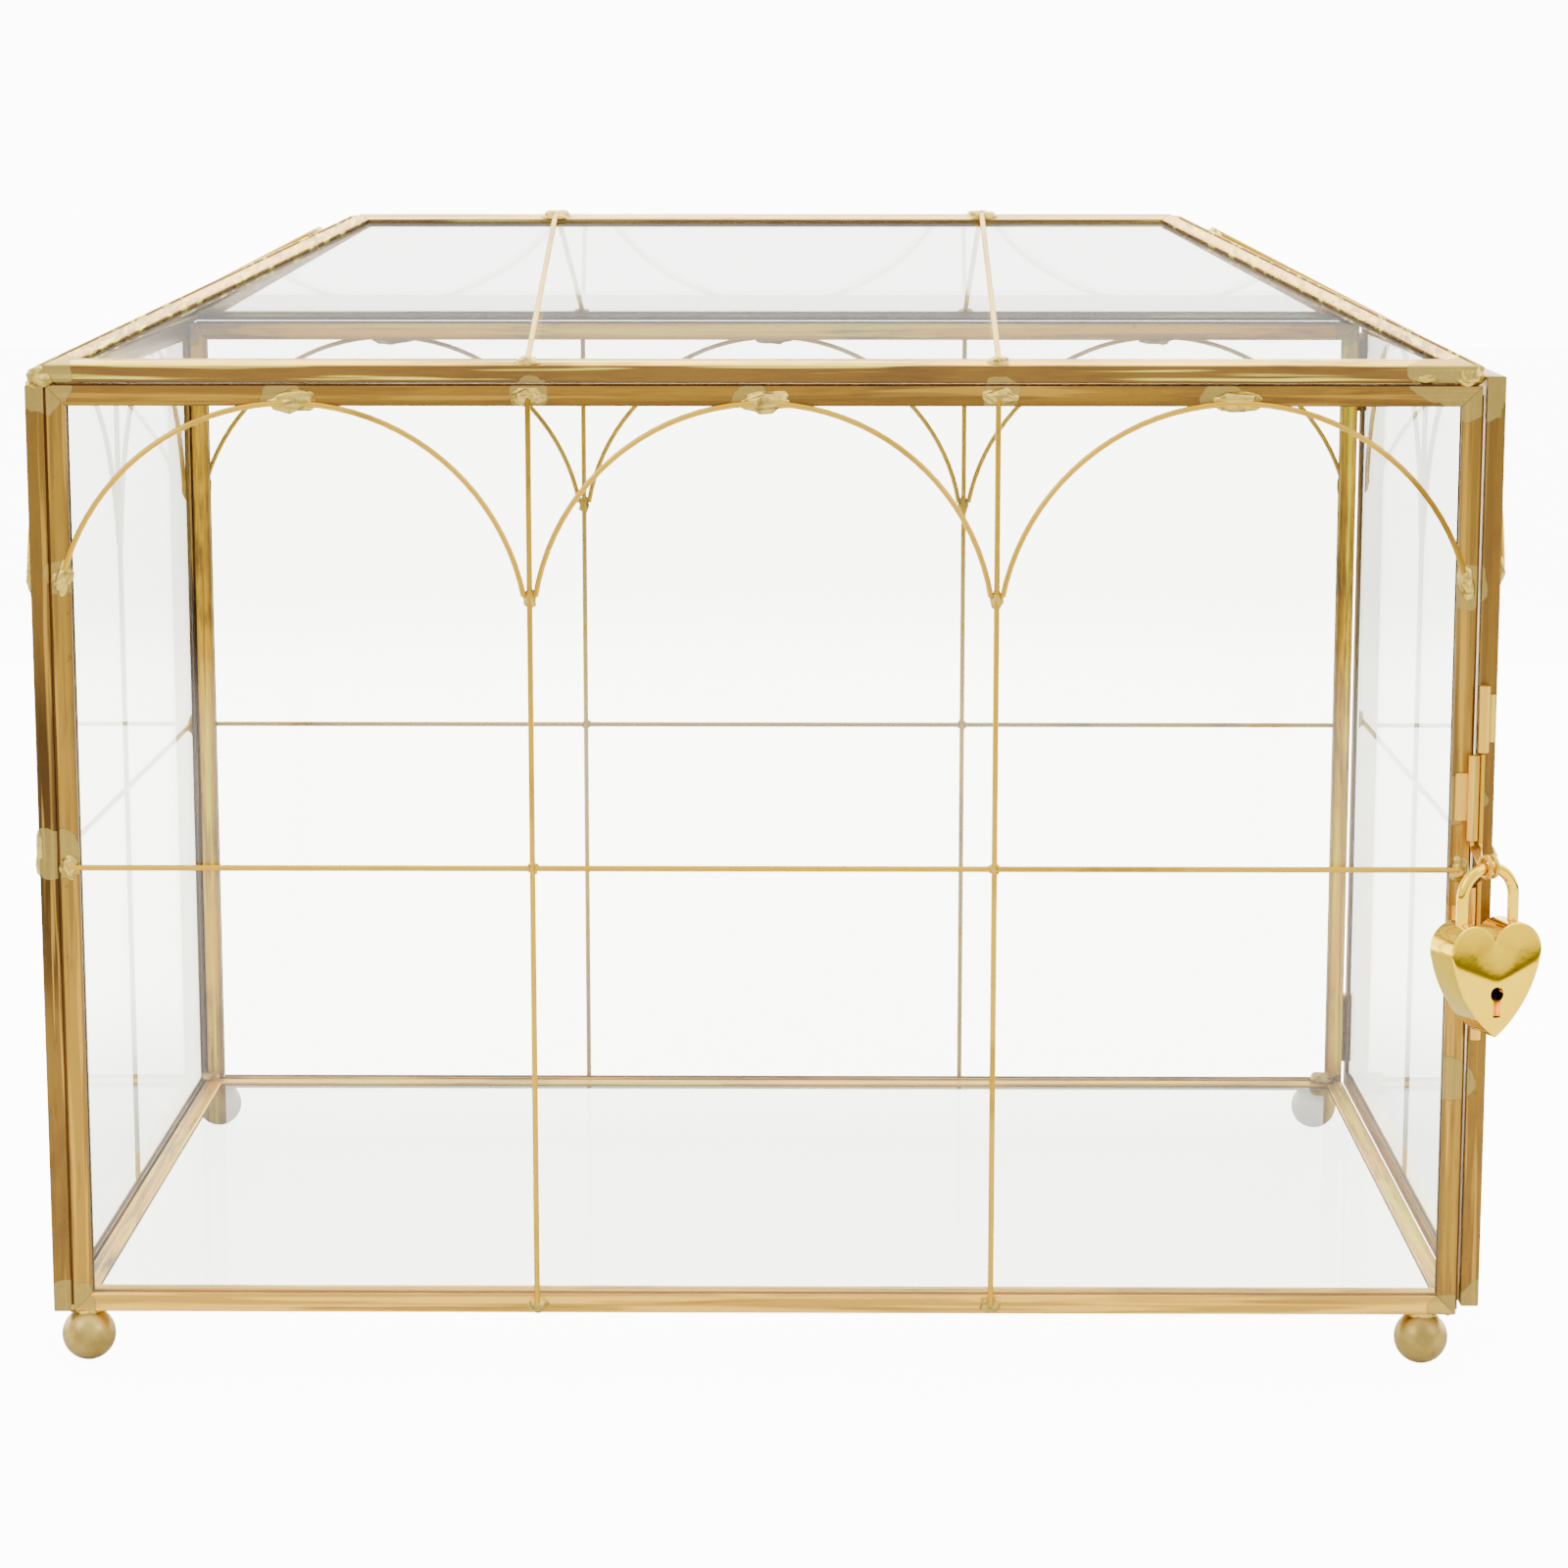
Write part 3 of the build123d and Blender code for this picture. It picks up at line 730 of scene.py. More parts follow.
@dataclass
class Case:
    """Sizes of the box, in millimetres, and the panes that they give."""

    width: float = 300.0
    depth: float = 195.0
    wall: float = 198.0
    ridge_rise: float = 28.0
    ridge_length: float = 185.0
    roof_front_inset: float = 0.6
    roof_right_inset: float = 1.3
    came_flange: float = 4.2
    came_depth: float = 3.9
    seam: float = 0.4
    door_gap: float = 0.9
    door_lift: float = 2.0
    corner: Vector = field(init=False)
    panels: dict[str, Panel] = field(init=False)
    main_length: float = field(init=False)
    end_length: float = field(init=False)

    def __post_init__(self) -> None:
        """Finds the case's corner on the frame and lays out its panes."""
        self.corner = Vector((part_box("left_rails")[0].x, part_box("front_rails")[0].y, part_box("left_rails")[0].z))
        self.panels = {}
        front_width = self.width - self.came_depth - self.seam
        inner = self.came_depth + self.seam
        self.wall_panel("front", (inner, 0, 0), (1, 0, 0), front_width, self.wall)
        self.wall_panel("back", (self.width, self.depth, 0), (-1, 0, 0), front_width, self.wall)
        self.wall_panel("left", (0, self.depth, 0), (0, -1, 0), self.depth, self.wall)
        outer = self.width + self.door_gap + self.came_depth
        self.wall_panel("door", (outer, 0, self.door_lift), (0, 1, 0), self.depth, self.wall)
        self.roof_panels()

    def at(self, x: float, y: float, z: float) -> Vector:
        """A place measured in millimetres from the case's left front bottom corner."""
        return self.corner + Vector((x, y, z)) * MM

    def wall_panel(self, name: str, start: Triple, along: Triple, width: float, height: float) -> None:
        """Lays out one upright pane."""
        outline = [(0, 0), (width * MM, 0), (width * MM, height * MM), (0, height * MM)]
        self.panels[name] = Panel(name, self.at(*start), Vector(along), Vector((0, 0, 1)), outline)

    def roof_panels(self) -> None:
        """Lays out the four sloping panes."""
        left = self.came_depth
        right = self.width - self.roof_right_inset
        roof_width = right - left
        roof_depth = self.depth - 2 * self.roof_front_inset
        eave = self.wall + self.seam
        main = math.atan2(self.ridge_rise, roof_depth / 2)
        end = math.atan2(self.ridge_rise, (roof_width - self.ridge_length) / 2)
        self.main_length = self.ridge_rise / math.sin(main)
        self.end_length = self.ridge_rise / math.sin(end)
        run = (roof_width - self.ridge_length) / 2
        trapezoid = [(0, 0), (roof_width, 0), (roof_width - run, self.main_length), (run, self.main_length)]
        triangle = [(0, 0), (roof_depth, 0), (roof_depth / 2, self.end_length)]
        near, far = self.roof_front_inset, self.depth - self.roof_front_inset
        self.slope("roof_front", (left, near, eave), (1, 0, 0), (0, math.cos(main), math.sin(main)), trapezoid)
        self.slope("roof_back", (right, far, eave), (-1, 0, 0), (0, -math.cos(main), math.sin(main)), trapezoid)
        self.slope("roof_left", (left, far, eave), (0, -1, 0), (math.cos(end), 0, math.sin(end)), triangle)
        self.slope("roof_right", (right, near, eave), (0, 1, 0), (-math.cos(end), 0, math.sin(end)), triangle)

    def slope(self, name: str, start: Triple, along: Triple, up: Triple, outline: list) -> None:
        """Lays out one sloping pane, its outer face a came's depth above the eaves."""
        panel = Panel(name, self.at(*start), Vector(along), Vector(up), [(x * MM, y * MM) for x, y in outline])
        panel.origin = panel.origin + panel.out * (self.came_depth * MM)
        self.panels[name] = panel


@dataclass(frozen=True)
class Strips:
    """One node's channels: the pane that they frame, which way they run and how they are toned."""

    node: str
    panel: str | None
    run: Run
    light: Triple
    tarnish: float
    # How much of its tone the web keeps: below 1 the web takes painted shade.
    web: float = 0.6
    burn: tuple[float, float] | None = None
    # Painted light: how much lighter the lowest part is drawn.
    floor_light_gain: float = 1.0


@dataclass
class Cames:
    """The brass channels round every pane: rounded along their folds and dressed."""

    case: Case
    nodes: dict[str, bpy.types.Object]
    fold: float = 0.00034
    stains: list[Stain] = field(default_factory=list)

    def channel(self, node: str, panel: Panel | None, body: str, finish: CameBrass) -> bpy.types.Object:
        """Rounds one node's folds and gives it its finish.

        Args:
            node: the frame node to stand for.
            panel: the pane whose outline it follows, or None for the floor.
            body: the frame body that it rides on.
            finish: its brass.

        Returns:
            The new piece.
        """
        piece = Bench.from_node(self.nodes[node], f"{node}_rolled")
        low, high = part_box(node)
        vertices = piece.data.vertices
        depth = self.case.came_depth * MM

        def folded(edge: bpy.types.MeshEdge) -> bool:
            """Whether an edge is one of the channel's two long outer folds."""
            ends = [vertices[i].co for i in edge.vertices]
            if (ends[0] - ends[1]).length < 0.02:
                return False
            if panel is None:
                return all(min(p.z - low.z, low.z + depth - p.z) < TOUCH or abs(p.z - high.z) < TOUCH for p in ends)
            return all(panel.edge_distance(p) < TOUCH for p in ends)

        Bench.edit(piece, folded, "EDGE")
        bpy.ops.mesh.bevel(offset=self.fold, segments=4, affect="EDGES", clamp_overlap=True)
        Bench.done()
        Bench.smooth(piece, 24.0)
        Bench.dress(piece, finish.make())
        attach(piece, body)
        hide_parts(node)
        log.info("channel %s", piece.name)
        return piece

    @staticmethod
    def sides(node: str, pane: Panel | None) -> tuple:
        """The outline's sides that a node's strips lie along."""
        if pane is None:
            return ()
        numbers = {"rails": (0, 2), "stiles": (1, 3), "hips": (1, 3), "came": (0, 1, 2)}[node.split("_")[-1]]
        return tuple(pane.side(number) for number in numbers)

    def near(self, node: str) -> tuple[Stain, ...]:
        """The films of solder that touch one node."""
        low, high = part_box(node)
        found = []
        for stain in self.stains:
            place = Vector(stain.centre)
            gap = Vector([max(low[i] - place[i], 0, place[i] - high[i]) for i in range(3)]).length
            if gap < stain.radius * 0.8:
                found.append(stain)
        return tuple(found)

    def build(self) -> None:
        """Makes every channel of the case, the roof, the floor and the door."""
        # Painted light and shade: one brass drawn lighter or darker node by node, for how much light each node
        # mirrors; rose and deep, the brightest, go on the roof, the back and the floor.
        pale = (0.38, 0.215, 0.032)
        warm = (0.33, 0.180, 0.026)
        rose = (0.88, 0.51, 0.07)
        deep = (1.0, 0.54, 0.02)
        plan = [
            Strips("front_rails", "front", Run.LEVEL, warm, 0.42, floor_light_gain=3.2),
            Strips("front_stiles", "front", Run.UPRIGHT, pale, 0.22),
            Strips("back_rails", "back", Run.LEVEL, deep, 0.3, web=1.0),
            Strips("back_stiles", "back", Run.UPRIGHT, deep, 0.4, web=1.0),
            Strips("left_rails", "left", Run.DEEP, pale, 0.4),
            Strips("left_stiles", "left", Run.UPRIGHT, pale, 0.45, burn=(0.084, 0.150)),
            Strips("door_rails", "door", Run.DEEP, pale, 0.3, web=0.8),
            Strips("door_stiles", "door", Run.UPRIGHT, warm, 0.35, web=0.8),
            Strips("floor_long_rails", None, Run.LEVEL, deep, 0.3),
            Strips("floor_short_rails", None, Run.DEEP, deep, 0.3),
            Strips("roof_front_rails", "roof_front", Run.LEVEL, rose, 0.4, web=0.1),
            Strips("roof_front_hips", "roof_front", Run.DEEP, rose, 0.3, web=0.1),
            Strips("roof_back_rails", "roof_back", Run.LEVEL, deep, 0.4, web=0.1),
            Strips("roof_back_hips", "roof_back", Run.DEEP, warm, 0.3, web=0.1),
            Strips("roof_left_came", "roof_left", Run.DEEP, rose, 0.3, web=0.1),
            Strips("roof_right_came", "roof_right", Run.DEEP, rose, 0.3, web=0.1),
        ]
        for number, strips in enumerate(plan, 1):
            pane = self.case.panels.get(strips.panel)
            finish = CameBrass(
                f"brass_{strips.node}",
                strips.run,
                light=strips.light,
                tarnish=strips.tarnish,
                burn=strips.burn,
                facing=tuple(pane.out) if pane else None,
                web=strips.web,
                sides=self.sides(strips.node, pane),
                floor_light_gain=strips.floor_light_gain,
                stains=self.near(strips.node),
                seed=float(number),
            )
            self.channel(strips.node, pane, "door" if strips.panel == "door" else "case", finish)


@dataclass(frozen=True)
class Bead:
    """One lump of solder on a pane's frame, in the pane's own millimetres."""

    panel: str
    x: float
    y: float
    wide: float
    tall: float
    high: float
    turn: float = 0.0
    sink: float = 0.0


@dataclass
class SolderWork:
    """The solder of the box: beads on the wires, caps over the corners, collars on the feet."""

    case: Case
    material: bpy.types.Material
    # The finish of the dark strips of painted shade in the grooves.
    dark: bpy.types.Material
    arch_foot_inset: float = 2.6
    arch_side_lift: float = 4.0
    wire_radius: float = 0.6
    wire_end_inset: float = 2.0
    arch_rise: float = 40.0
    cross_height: float = 97.0
    foot_radius: float = 5.75
    skirt_height: float = 0.30
    skirt_flare: float = 1.16
    counts: dict[str, int] = field(default_factory=lambda: {"front": 3, "back": 3, "left": 2, "door": 2})

    def uprights(self, panel: str) -> list[float]:
        """Where a pane's uprights and outer arch feet stand."""
        width = self.case.panels[panel].width / MM
        pitch = (width - 2 * self.arch_foot_inset) / self.counts[panel]
        return [self.arch_foot_inset + pitch * i for i in range(self.counts[panel] + 1)]

    def panel_beads(self, panel: str) -> list[Bead]:
        """Every bead of one upright pane.

        Args:
            panel: the pane's name.

        Returns:
            Its beads: crowns, upright ends, arch feet, wire crossings.
        """
        places = self.uprights(panel)
        width = self.case.panels[panel].width / MM
        wall = self.case.wall
        crown = wall - self.case.came_flange + self.wire_radius
        spring = crown - self.arch_rise
        middles = [(a + b) / 2 for a, b in zip(places, places[1:])]
        beads = [Bead(panel, x + 0.6, crown + 0.35, 4.5, 1.9, 1.42, 3.0) for x in middles]
        for x in places[1:-1]:
            beads.append(Bead(panel, x, wall - self.wire_end_inset - 0.2, 3.1, 1.5, 1.35))
            beads.append(Bead(panel, x, self.wire_end_inset, 1.9, 1.5, 1.1))
            beads.append(Bead(panel, x, spring - 0.6, 1.15, 1.9, 0.8, sink=-0.45))
            beads.append(Bead(panel, x, self.cross_height, 1.15, 1.0, 0.75, sink=-0.45))
        for x, lean in ((self.wire_end_inset, 8.0), (width - self.wire_end_inset, -8.0)):
            beads.append(Bead(panel, x, self.cross_height, 1.7, 2.3, 1.3, lean))
        for x, lean in ((places[0] - 0.2, -12.0), (places[-1] + 0.2, 12.0)):
            beads.append(Bead(panel, x, spring + self.arch_side_lift - 0.6, 1.6, 2.9, 1.35, lean))
        return beads

    def roof_beads(self) -> list[Bead]:
        """The beads at both ends of the roof's wires."""
        beads = []
        roof_left = self.case.came_depth
        roof_width = self.case.width - self.case.roof_right_inset - roof_left
        fronts = [self.case.seam + x for x in self.uprights("front")[1:-1]]
        plan = {
            "roof_front": (fronts, self.case.main_length - self.wire_end_inset),
            "roof_back": ([roof_width - x for x in fronts], self.case.main_length - self.wire_end_inset),
            "roof_left": ([self.case.panels["roof_left"].width / MM / 2], self.case.end_length * 0.85),
            "roof_right": ([self.case.panels["roof_right"].width / MM / 2], self.case.end_length * 0.85),
        }
        for panel, (places, high) in plan.items():
            for x in places:
                beads.append(Bead(panel, x, self.wire_end_inset, 2.2, 1.7, 1.3))
                beads.append(Bead(panel, x, high, 3.0, 1.7, 1.4))
        return beads

    def pattern(self) -> bpy.types.Object:
        """One bead of unit size: half a ball with a spread skirt."""
        Bench.clear()
        bpy.ops.mesh.primitive_uv_sphere_add(segments=28, ring_count=20, radius=1.0, location=(0, 0, 0))
        bead = Bench.active()
        Bench.edit(bead)
        bpy.ops.mesh.bisect(plane_co=(0, 0, -0.12), plane_no=(0, 0, 1), use_fill=True, clear_inner=True)
        Bench.done()
        Bench.edit(bead, lambda v: v.co.z < self.skirt_height)
        bpy.ops.transform.resize(value=(self.skirt_flare, self.skirt_flare, 0.85), center_override=(0, 0, 0))
        Bench.done()
        return bead

    def lay(self, pattern: bpy.types.Object, bead: Bead, index: int) -> bpy.types.Object:
        """Copies the pattern to one joint and makes it uneven.

        Args:
            pattern: the unit bead.
            bead: where it goes and how large it is.
            index: a number that makes it unlike the others.

        Returns:
            The bead in its place.
        """
        panel = self.case.panels[bead.panel]
        size = Matrix.Diagonal((bead.wide * MM, bead.tall * MM, bead.high * MM, 1.0))
        turn = Matrix.Rotation(math.radians(bead.turn), 4, "Z")
        axes = Matrix((panel.along, panel.up, panel.out)).transposed().to_4x4()
        foot = Matrix.Translation(panel.point(bead.x * MM, bead.y * MM, -bead.sink * MM))
        copy = Bench.twin(pattern, Matrix())
        for vertex in copy.data.vertices:
            push = noise.noise(vertex.co * 1.4 + Vector((index * 3.7, index * 1.3, 0.0)))
            fine = noise.noise(vertex.co * 3.2 + Vector((0.0, index * 2.9, 5.0)))
            vertex.co.xy = vertex.co.xy * (1.0 + 0.34 * push + 0.12 * fine)
            if vertex.co.z > 0.1:
                vertex.co.z = min(1.0, vertex.co.z * (0.94 + 0.30 * push + 0.10 * fine))
        copy.data.transform(foot @ axes @ turn @ size)
        return copy

    def lump(self, place: Triple, size: Triple, index: int) -> bpy.types.Object:
        """A blob that wraps a corner.

        Args:
            place: its middle, in the case's millimetres.
            size: half its width, depth and height, in millimetres.
            index: a number that makes it unlike the others.

        Returns:
            The blob.
        """
        Bench.clear()
        bpy.ops.mesh.primitive_ico_sphere_add(subdivisions=4, radius=1.0, location=(0, 0, 0))
        blob = Bench.active()
        for vertex in blob.data.vertices:
            push = noise.noise(vertex.co * 1.3 + Vector((index * 5.1, 0.0, index * 0.7)))
            fine = noise.noise(vertex.co * 3.5 + Vector((0.0, index * 1.9, 2.0)))
            vertex.co = vertex.co * (1.0 + 0.30 * push + 0.10 * fine)
        scale = Matrix.Diagonal((*[c * MM for c in size], 1.0))
        blob.data.transform(Matrix.Translation(self.case.at(*place)) @ scale)
        return blob

    def caps(self) -> list[bpy.types.Object]:
        """Solder over the roof's four corners, the ridge's ends and the lower corners."""
        width, depth, wall = self.case.width, self.case.depth, self.case.wall
        top = wall + self.case.seam + self.case.ridge_rise + self.case.came_depth * 0.75
        ends = (width - self.case.roof_right_inset + self.case.came_depth) / 2
        reach = self.case.ridge_length / 2
        lumps = [
            ((3.4, 1.3, wall + 1.6), (2.9, 1.9, 2.2)),
            ((1.8, 1.8, wall - 0.2), (2.0, 1.9, 1.2)),
            ((width - 2.6, 1.2, wall + 1.8), (2.8, 1.9, 2.1)),
            ((width - 11.5, 0.9, wall + 1.5), (3.4, 1.0, 1.1)),
            ((3.6, depth - 1.5, wall + 1.7), (2.9, 2.0, 2.0)),
            ((width - 2.8, depth - 1.5, wall + 1.7), (2.7, 2.0, 2.0)),
            ((ends - reach, depth / 2, top - 0.5), (2.6, 2.0, 1.0)),
            ((ends + reach, depth / 2, top - 0.5), (2.6, 2.0, 1.0)),
            ((0.2, 1.6, self.cross_height + 3.5), (1.0, 1.8, 4.2)),
            ((0.1, 1.4, wall - 38.5), (0.9, 1.4, 2.6)),
            ((4.1, 0.9, 0.6), (1.3, 0.8, 1.0)),
            ((5.2, depth - 5.2, 4.6), (2.4, 2.2, 1.5)),
            ((width - 5.0, depth - 5.4, 4.8), (3.4, 2.4, 1.7)),
            ((width - 1.4, 0.9, 0.8), (1.5, 0.9, 1.1)),
        ]
        return [self.lump(place, size, i) for i, (place, size) in enumerate(lumps)]

    def collars(self) -> list[bpy.types.Object]:
        """The solder ring between each ball foot and the case."""
        low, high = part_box("ball_feet")
        radius = self.foot_radius * MM
        rings = []
        for i, x in enumerate((low.x + radius, high.x - radius)):
            for j, y in enumerate((low.y + radius, high.y - radius)):
                Bench.clear()
                bpy.ops.mesh.primitive_torus_add(
                    location=(0, 0, 0), major_radius=1.0, minor_radius=0.24, major_segments=36, minor_segments=12
                )
                ring = Bench.active()
                for vertex in ring.data.vertices:
                    push = noise.noise(vertex.co * 1.6 + Vector((i * 7.0, j * 4.0, 0.0)))
                    vertex.co.xy = vertex.co.xy * (1.0 + 0.22 * push)
                place = Matrix.Translation((x, y, high.z - 0.0003))
                ring.data.transform(place @ Matrix.Diagonal((0.0024, 0.0024, 0.0026, 1.0)))
                rings.append(ring)
        return rings

    def seam(self, place: Triple, size: Triple, index: int) -> bpy.types.Object:
        """A dark strip set down into the groove between two channels: painted shade where the groove lies in shadow.

        Args:
            place: its middle, in the case's millimetres.
            size: its width, depth and height, in millimetres.
            index: a number that makes it unlike the others.

        Returns:
            The strip.
        """
        Bench.clear()
        bpy.ops.mesh.primitive_cube_add(size=1.0, location=(0, 0, 0))
        strip = Bench.active()
        strip.data.transform(Matrix.Diagonal((*[c * MM for c in size], 1.0)))
        Bench.edit(strip)
        bpy.ops.mesh.subdivide(number_cuts=24)
        Bench.done()
        for vertex in strip.data.vertices:
            push = noise.noise(vertex.co * 120.0 + Vector((index * 2.0, 0.0, 0.0)))
            vertex.co.y += 0.0002 * push
        strip.data.transform(Matrix.Translation(self.case.at(*place)))
        return strip

    def grooves(self) -> list[tuple[Triple, Triple, int]]:
        """Each groove's dark strip of painted shade: its middle and size, in the case's millimetres, and its own
        number.
        """
        width, depth, wall = self.case.width, self.case.depth, self.case.wall
        corner = self.case.came_depth + self.case.seam / 2
        eave = wall + self.case.seam / 2
        return [
            ((corner, 1.9, wall / 2), (0.36, 2.9, wall - 1.4), 0),
            ((corner, depth - 1.9, wall / 2), (0.36, 2.9, wall - 1.4), 1),
            ((width / 2 + 2, 1.9, eave), (width - 8.0, 2.6, 0.36), 2),
            ((width / 2 + 2, depth - 1.9, eave), (width - 8.0, 2.6, 0.36), 3),
            ((2.1, depth / 2, eave), (2.6, depth - 8.0, 0.36), 5),
            ((width + 0.18, 2.0, wall / 2 - 0.4), (0.34, 2.6, wall - 3.0), 4),
        ]

    def finish(self, pieces: list, name: str, body: str, material: bpy.types.Material, *nodes: str) -> None:
        """Joins pieces, dresses them and lets them ride.

        Args:
            pieces: the meshes to join.
            name: the piece's name.
            body: the frame body that it rides on.
            material: its finish.
            *nodes: the frame nodes that it stands for.
        """
        whole = Bench.join(pieces, name)
        Bench.edit(whole)
        bpy.ops.mesh.normals_make_consistent(inside=False)
        Bench.done()
        Bench.smooth(whole, 50.0)
        Bench.dress(whole, material)
        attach(whole, body)
        if nodes:
            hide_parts(*nodes)
        log.info("solder %s: %d faces", name, len(whole.data.polygons))

    def build(self) -> None:
        """Lays all the solder, and the dark strips of painted shade in the grooves."""
        pattern = self.pattern()
        case_beads = [b for p in ("front", "back", "left") for b in self.panel_beads(p)] + self.roof_beads()
        laid = [self.lay(pattern, bead, i) for i, bead in enumerate(case_beads)]
        self.finish(laid, "case_beads", "case", self.material, "case_solder")
        laid = [self.lay(pattern, bead, 60 + i) for i, bead in enumerate(self.panel_beads("door"))]
        self.finish(laid, "door_beads", "door", self.material, "door_solder")
        bpy.data.objects.remove(pattern)
        self.finish(self.caps(), "corner_caps", "case", self.material)
        self.finish(self.collars(), "foot_collars", "case", self.material)
        # Painted shade: dark strips in the grooves between channels.
        strips = [self.seam(place, size, index) for place, size, index in self.grooves()]
        self.finish(strips, "seam_solder", "case", self.dark)


@dataclass
class HeartPadlock:
    """The heart padlock: its body with rounded edges and its pillowed cover with the keyhole."""

    nodes: dict[str, bpy.types.Object]
    material: bpy.types.Material
    turn: float = 24.0
    depth: float = 9.0
    cover: float = 1.4
    dome: float = 0.15
    spread: float = 0.5
    pillow: float = 0.1
    lean: float = 0.115
    waist: float = 12.2
    vee: float = 0.42
    keyhole_radius: float = 1.55
    keyhole_slot: float = 1.7
    keyhole_length: float = 4.9
    keyhole_drop: float = 8.9
    lobe_radius: float = 5.6
    rings: int = 26
    back_round: float = 0.8
    cut_depth: float = 4.0
    crown_reach: float = 9.0

    def __post_init__(self) -> None:
        """Finds the padlock's own directions and middle on the frame."""
        angle = math.radians(self.turn)
        self.along = Vector((math.cos(angle), math.sin(angle), 0))
        self.out = Vector((math.sin(angle), -math.cos(angle), 0))
        self.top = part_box("padlock_case")[1].z
        cover_low, cover_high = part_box("padlock_cover")
        cover_middle = Vector(((cover_low.x + cover_high.x) / 2, (cover_low.y + cover_high.y) / 2, 0))
        self.axis = cover_middle - self.out * ((self.depth - self.cover) / 2 * MM)

    def level(self, place: Vector) -> float:
        """How far out of the padlock's middle plane a place lies."""
        return (place - self.axis).dot(self.out)

    def body(self) -> bpy.types.Object:
        """Rounds the hollow body's back edge."""
        piece = Bench.from_node(self.nodes["padlock_case"], "padlock_body_rounded")
        vertices = piece.data.vertices
        back = min(self.level(v.co) for v in vertices)
        Bench.edit(piece, lambda edge: all(self.level(vertices[i].co) < back + TOUCH for i in edge.vertices), "EDGE")
        bpy.ops.mesh.bevel(offset=self.back_round * MM, segments=5, affect="EDGES", clamp_overlap=True)
        Bench.done()
        Bench.smooth(piece, 28.0)
        return piece

    def outline_distance(self, place: Vector, outline: list[Vector]) -> float:
        """How far a place of the heart's plane lies from its outline."""
        nearest = 1.0
        for i, start in enumerate(outline):
            end = outline[(i + 1) % len(outline)]
            side = end - start
            share = max(0.0, min(1.0, (place - start).dot(side) / side.length_squared))
            nearest = min(nearest, (start + side * share - place).length)
        return nearest

    def plate(self) -> bpy.types.Object:
        """The cover: the heart's outline drawn out, ringed inwards and pillowed."""
        piece = Bench.from_node(self.nodes["padlock_case"], "padlock_cover_pillowed")
        vertices = piece.data.vertices
        back = min(self.level(v.co) for v in vertices)
        Bench.edit(piece, lambda f: any(self.level(vertices[i].co) > back + TOUCH for i in f.vertices), "FACE")
        bpy.ops.mesh.delete(type="FACE")
        bpy.ops.mesh.select_all(action="SELECT")
        bpy.ops.mesh.dissolve_limited(angle_limit=math.radians(1.0))
        bpy.ops.mesh.select_all(action="SELECT")
        bpy.ops.transform.translate(value=self.out * ((self.depth - self.cover) * MM))
        Bench.done()
        face = max(piece.data.polygons, key=lambda f: f.area)
        outline = [piece.data.vertices[i].co.copy() for i in face.vertices]
        base = self.level(outline[0])
        heart = self.axis + self.out * base
        heart.z = self.top - (self.lobe_radius + 1.6) * MM
        wall = (self.cover - self.dome - self.pillow) * MM
        Bench.edit(piece)
        bpy.ops.mesh.extrude_region_move(TRANSFORM_OT_translate={"value": self.out * wall})
        centre = heart + self.out * wall
        before = 1.0
        for ring in range(1, self.rings + 1):
            size = 1.0 - (ring / (self.rings + 1)) ** 1.35
            bpy.ops.mesh.extrude_region_move(TRANSFORM_OT_translate={"value": (0, 0, 0)})
            share = size / before
            bpy.ops.transform.resize(value=(share, share, share), center_override=centre)
            before = size
        bpy.ops.mesh.select_all(action="SELECT")
        bpy.ops.mesh.normals_make_consistent(inside=False)
        Bench.done()
        top = base + wall
        for vertex in piece.data.vertices:
            if self.level(vertex.co) < top - 1e-6:
                continue
            inset = self.outline_distance(vertex.co - self.out * wall, outline)
            share = min(1.0, inset / (self.spread * MM))
            rise = self.dome * math.sqrt(max(0.0, 1.0 - (1.0 - share) ** 2))
            deep = min(1.0, inset / (self.crown_reach * MM))
            crown = self.pillow * (1.0 - (1.0 - deep) ** 2)
            vertex.co += self.out * ((rise + crown - self.drop(vertex.co)) * MM)
        self.cut_keyhole(piece)
        Bench.smooth(piece, 40.0)
        return piece

    def drop(self, place: Vector) -> float:
        """How far the lobes lean back above the waist's shallow vee, in millimetres."""
        aside = math.hypot((place - self.axis).dot(self.along) / MM, 1.2) - 1.2
        above = (place.z - self.top) / MM + self.waist - self.vee * aside
        return self.lean * (above + math.hypot(above, 1.0)) / 2.0

    def cut_keyhole(self, piece: bpy.types.Object) -> None:
        """Cuts the round and slotted keyhole through the cover."""
        level = self.top - (self.lobe_radius + self.keyhole_drop) * MM
        upright = Matrix((self.along, Vector((0, 0, 1)), self.out)).transposed().to_4x4()
        middle = self.axis + self.out * ((self.depth / 2 - self.cover / 2) * MM)
        Bench.clear()
        bpy.ops.mesh.primitive_cylinder_add(vertices=48, radius=self.keyhole_radius * MM, depth=self.cut_depth * MM)
        barrel = Bench.active()
        barrel.data.transform(Matrix.Translation((middle.x, middle.y, level)) @ upright)
        Bench.clear()
        bpy.ops.mesh.primitive_cube_add(size=1.0)
        slot = Bench.active()
        size = Matrix.Diagonal((self.keyhole_slot * MM, self.keyhole_length * MM, self.cut_depth * MM, 1.0))
        low = level - self.keyhole_length / 2 * MM
        slot.data.transform(Matrix.Translation((middle.x, middle.y, low)) @ upright @ size)
        for cutter in (barrel, slot):
            Bench.apply(piece, "BOOLEAN", object=cutter, operation="DIFFERENCE", solver="EXACT")
            bpy.data.objects.remove(cutter)

    def build(self) -> None:
        """Makes both pieces and lets them ride on the padlock's body."""
        for piece, node in ((self.body(), "padlock_case"), (self.plate(), "padlock_cover")):
            Bench.dress(piece, self.material)
            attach(piece, "padlock_body")
            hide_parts(node)
            log.info("padlock %s: %d faces", piece.name, len(piece.data.polygons))


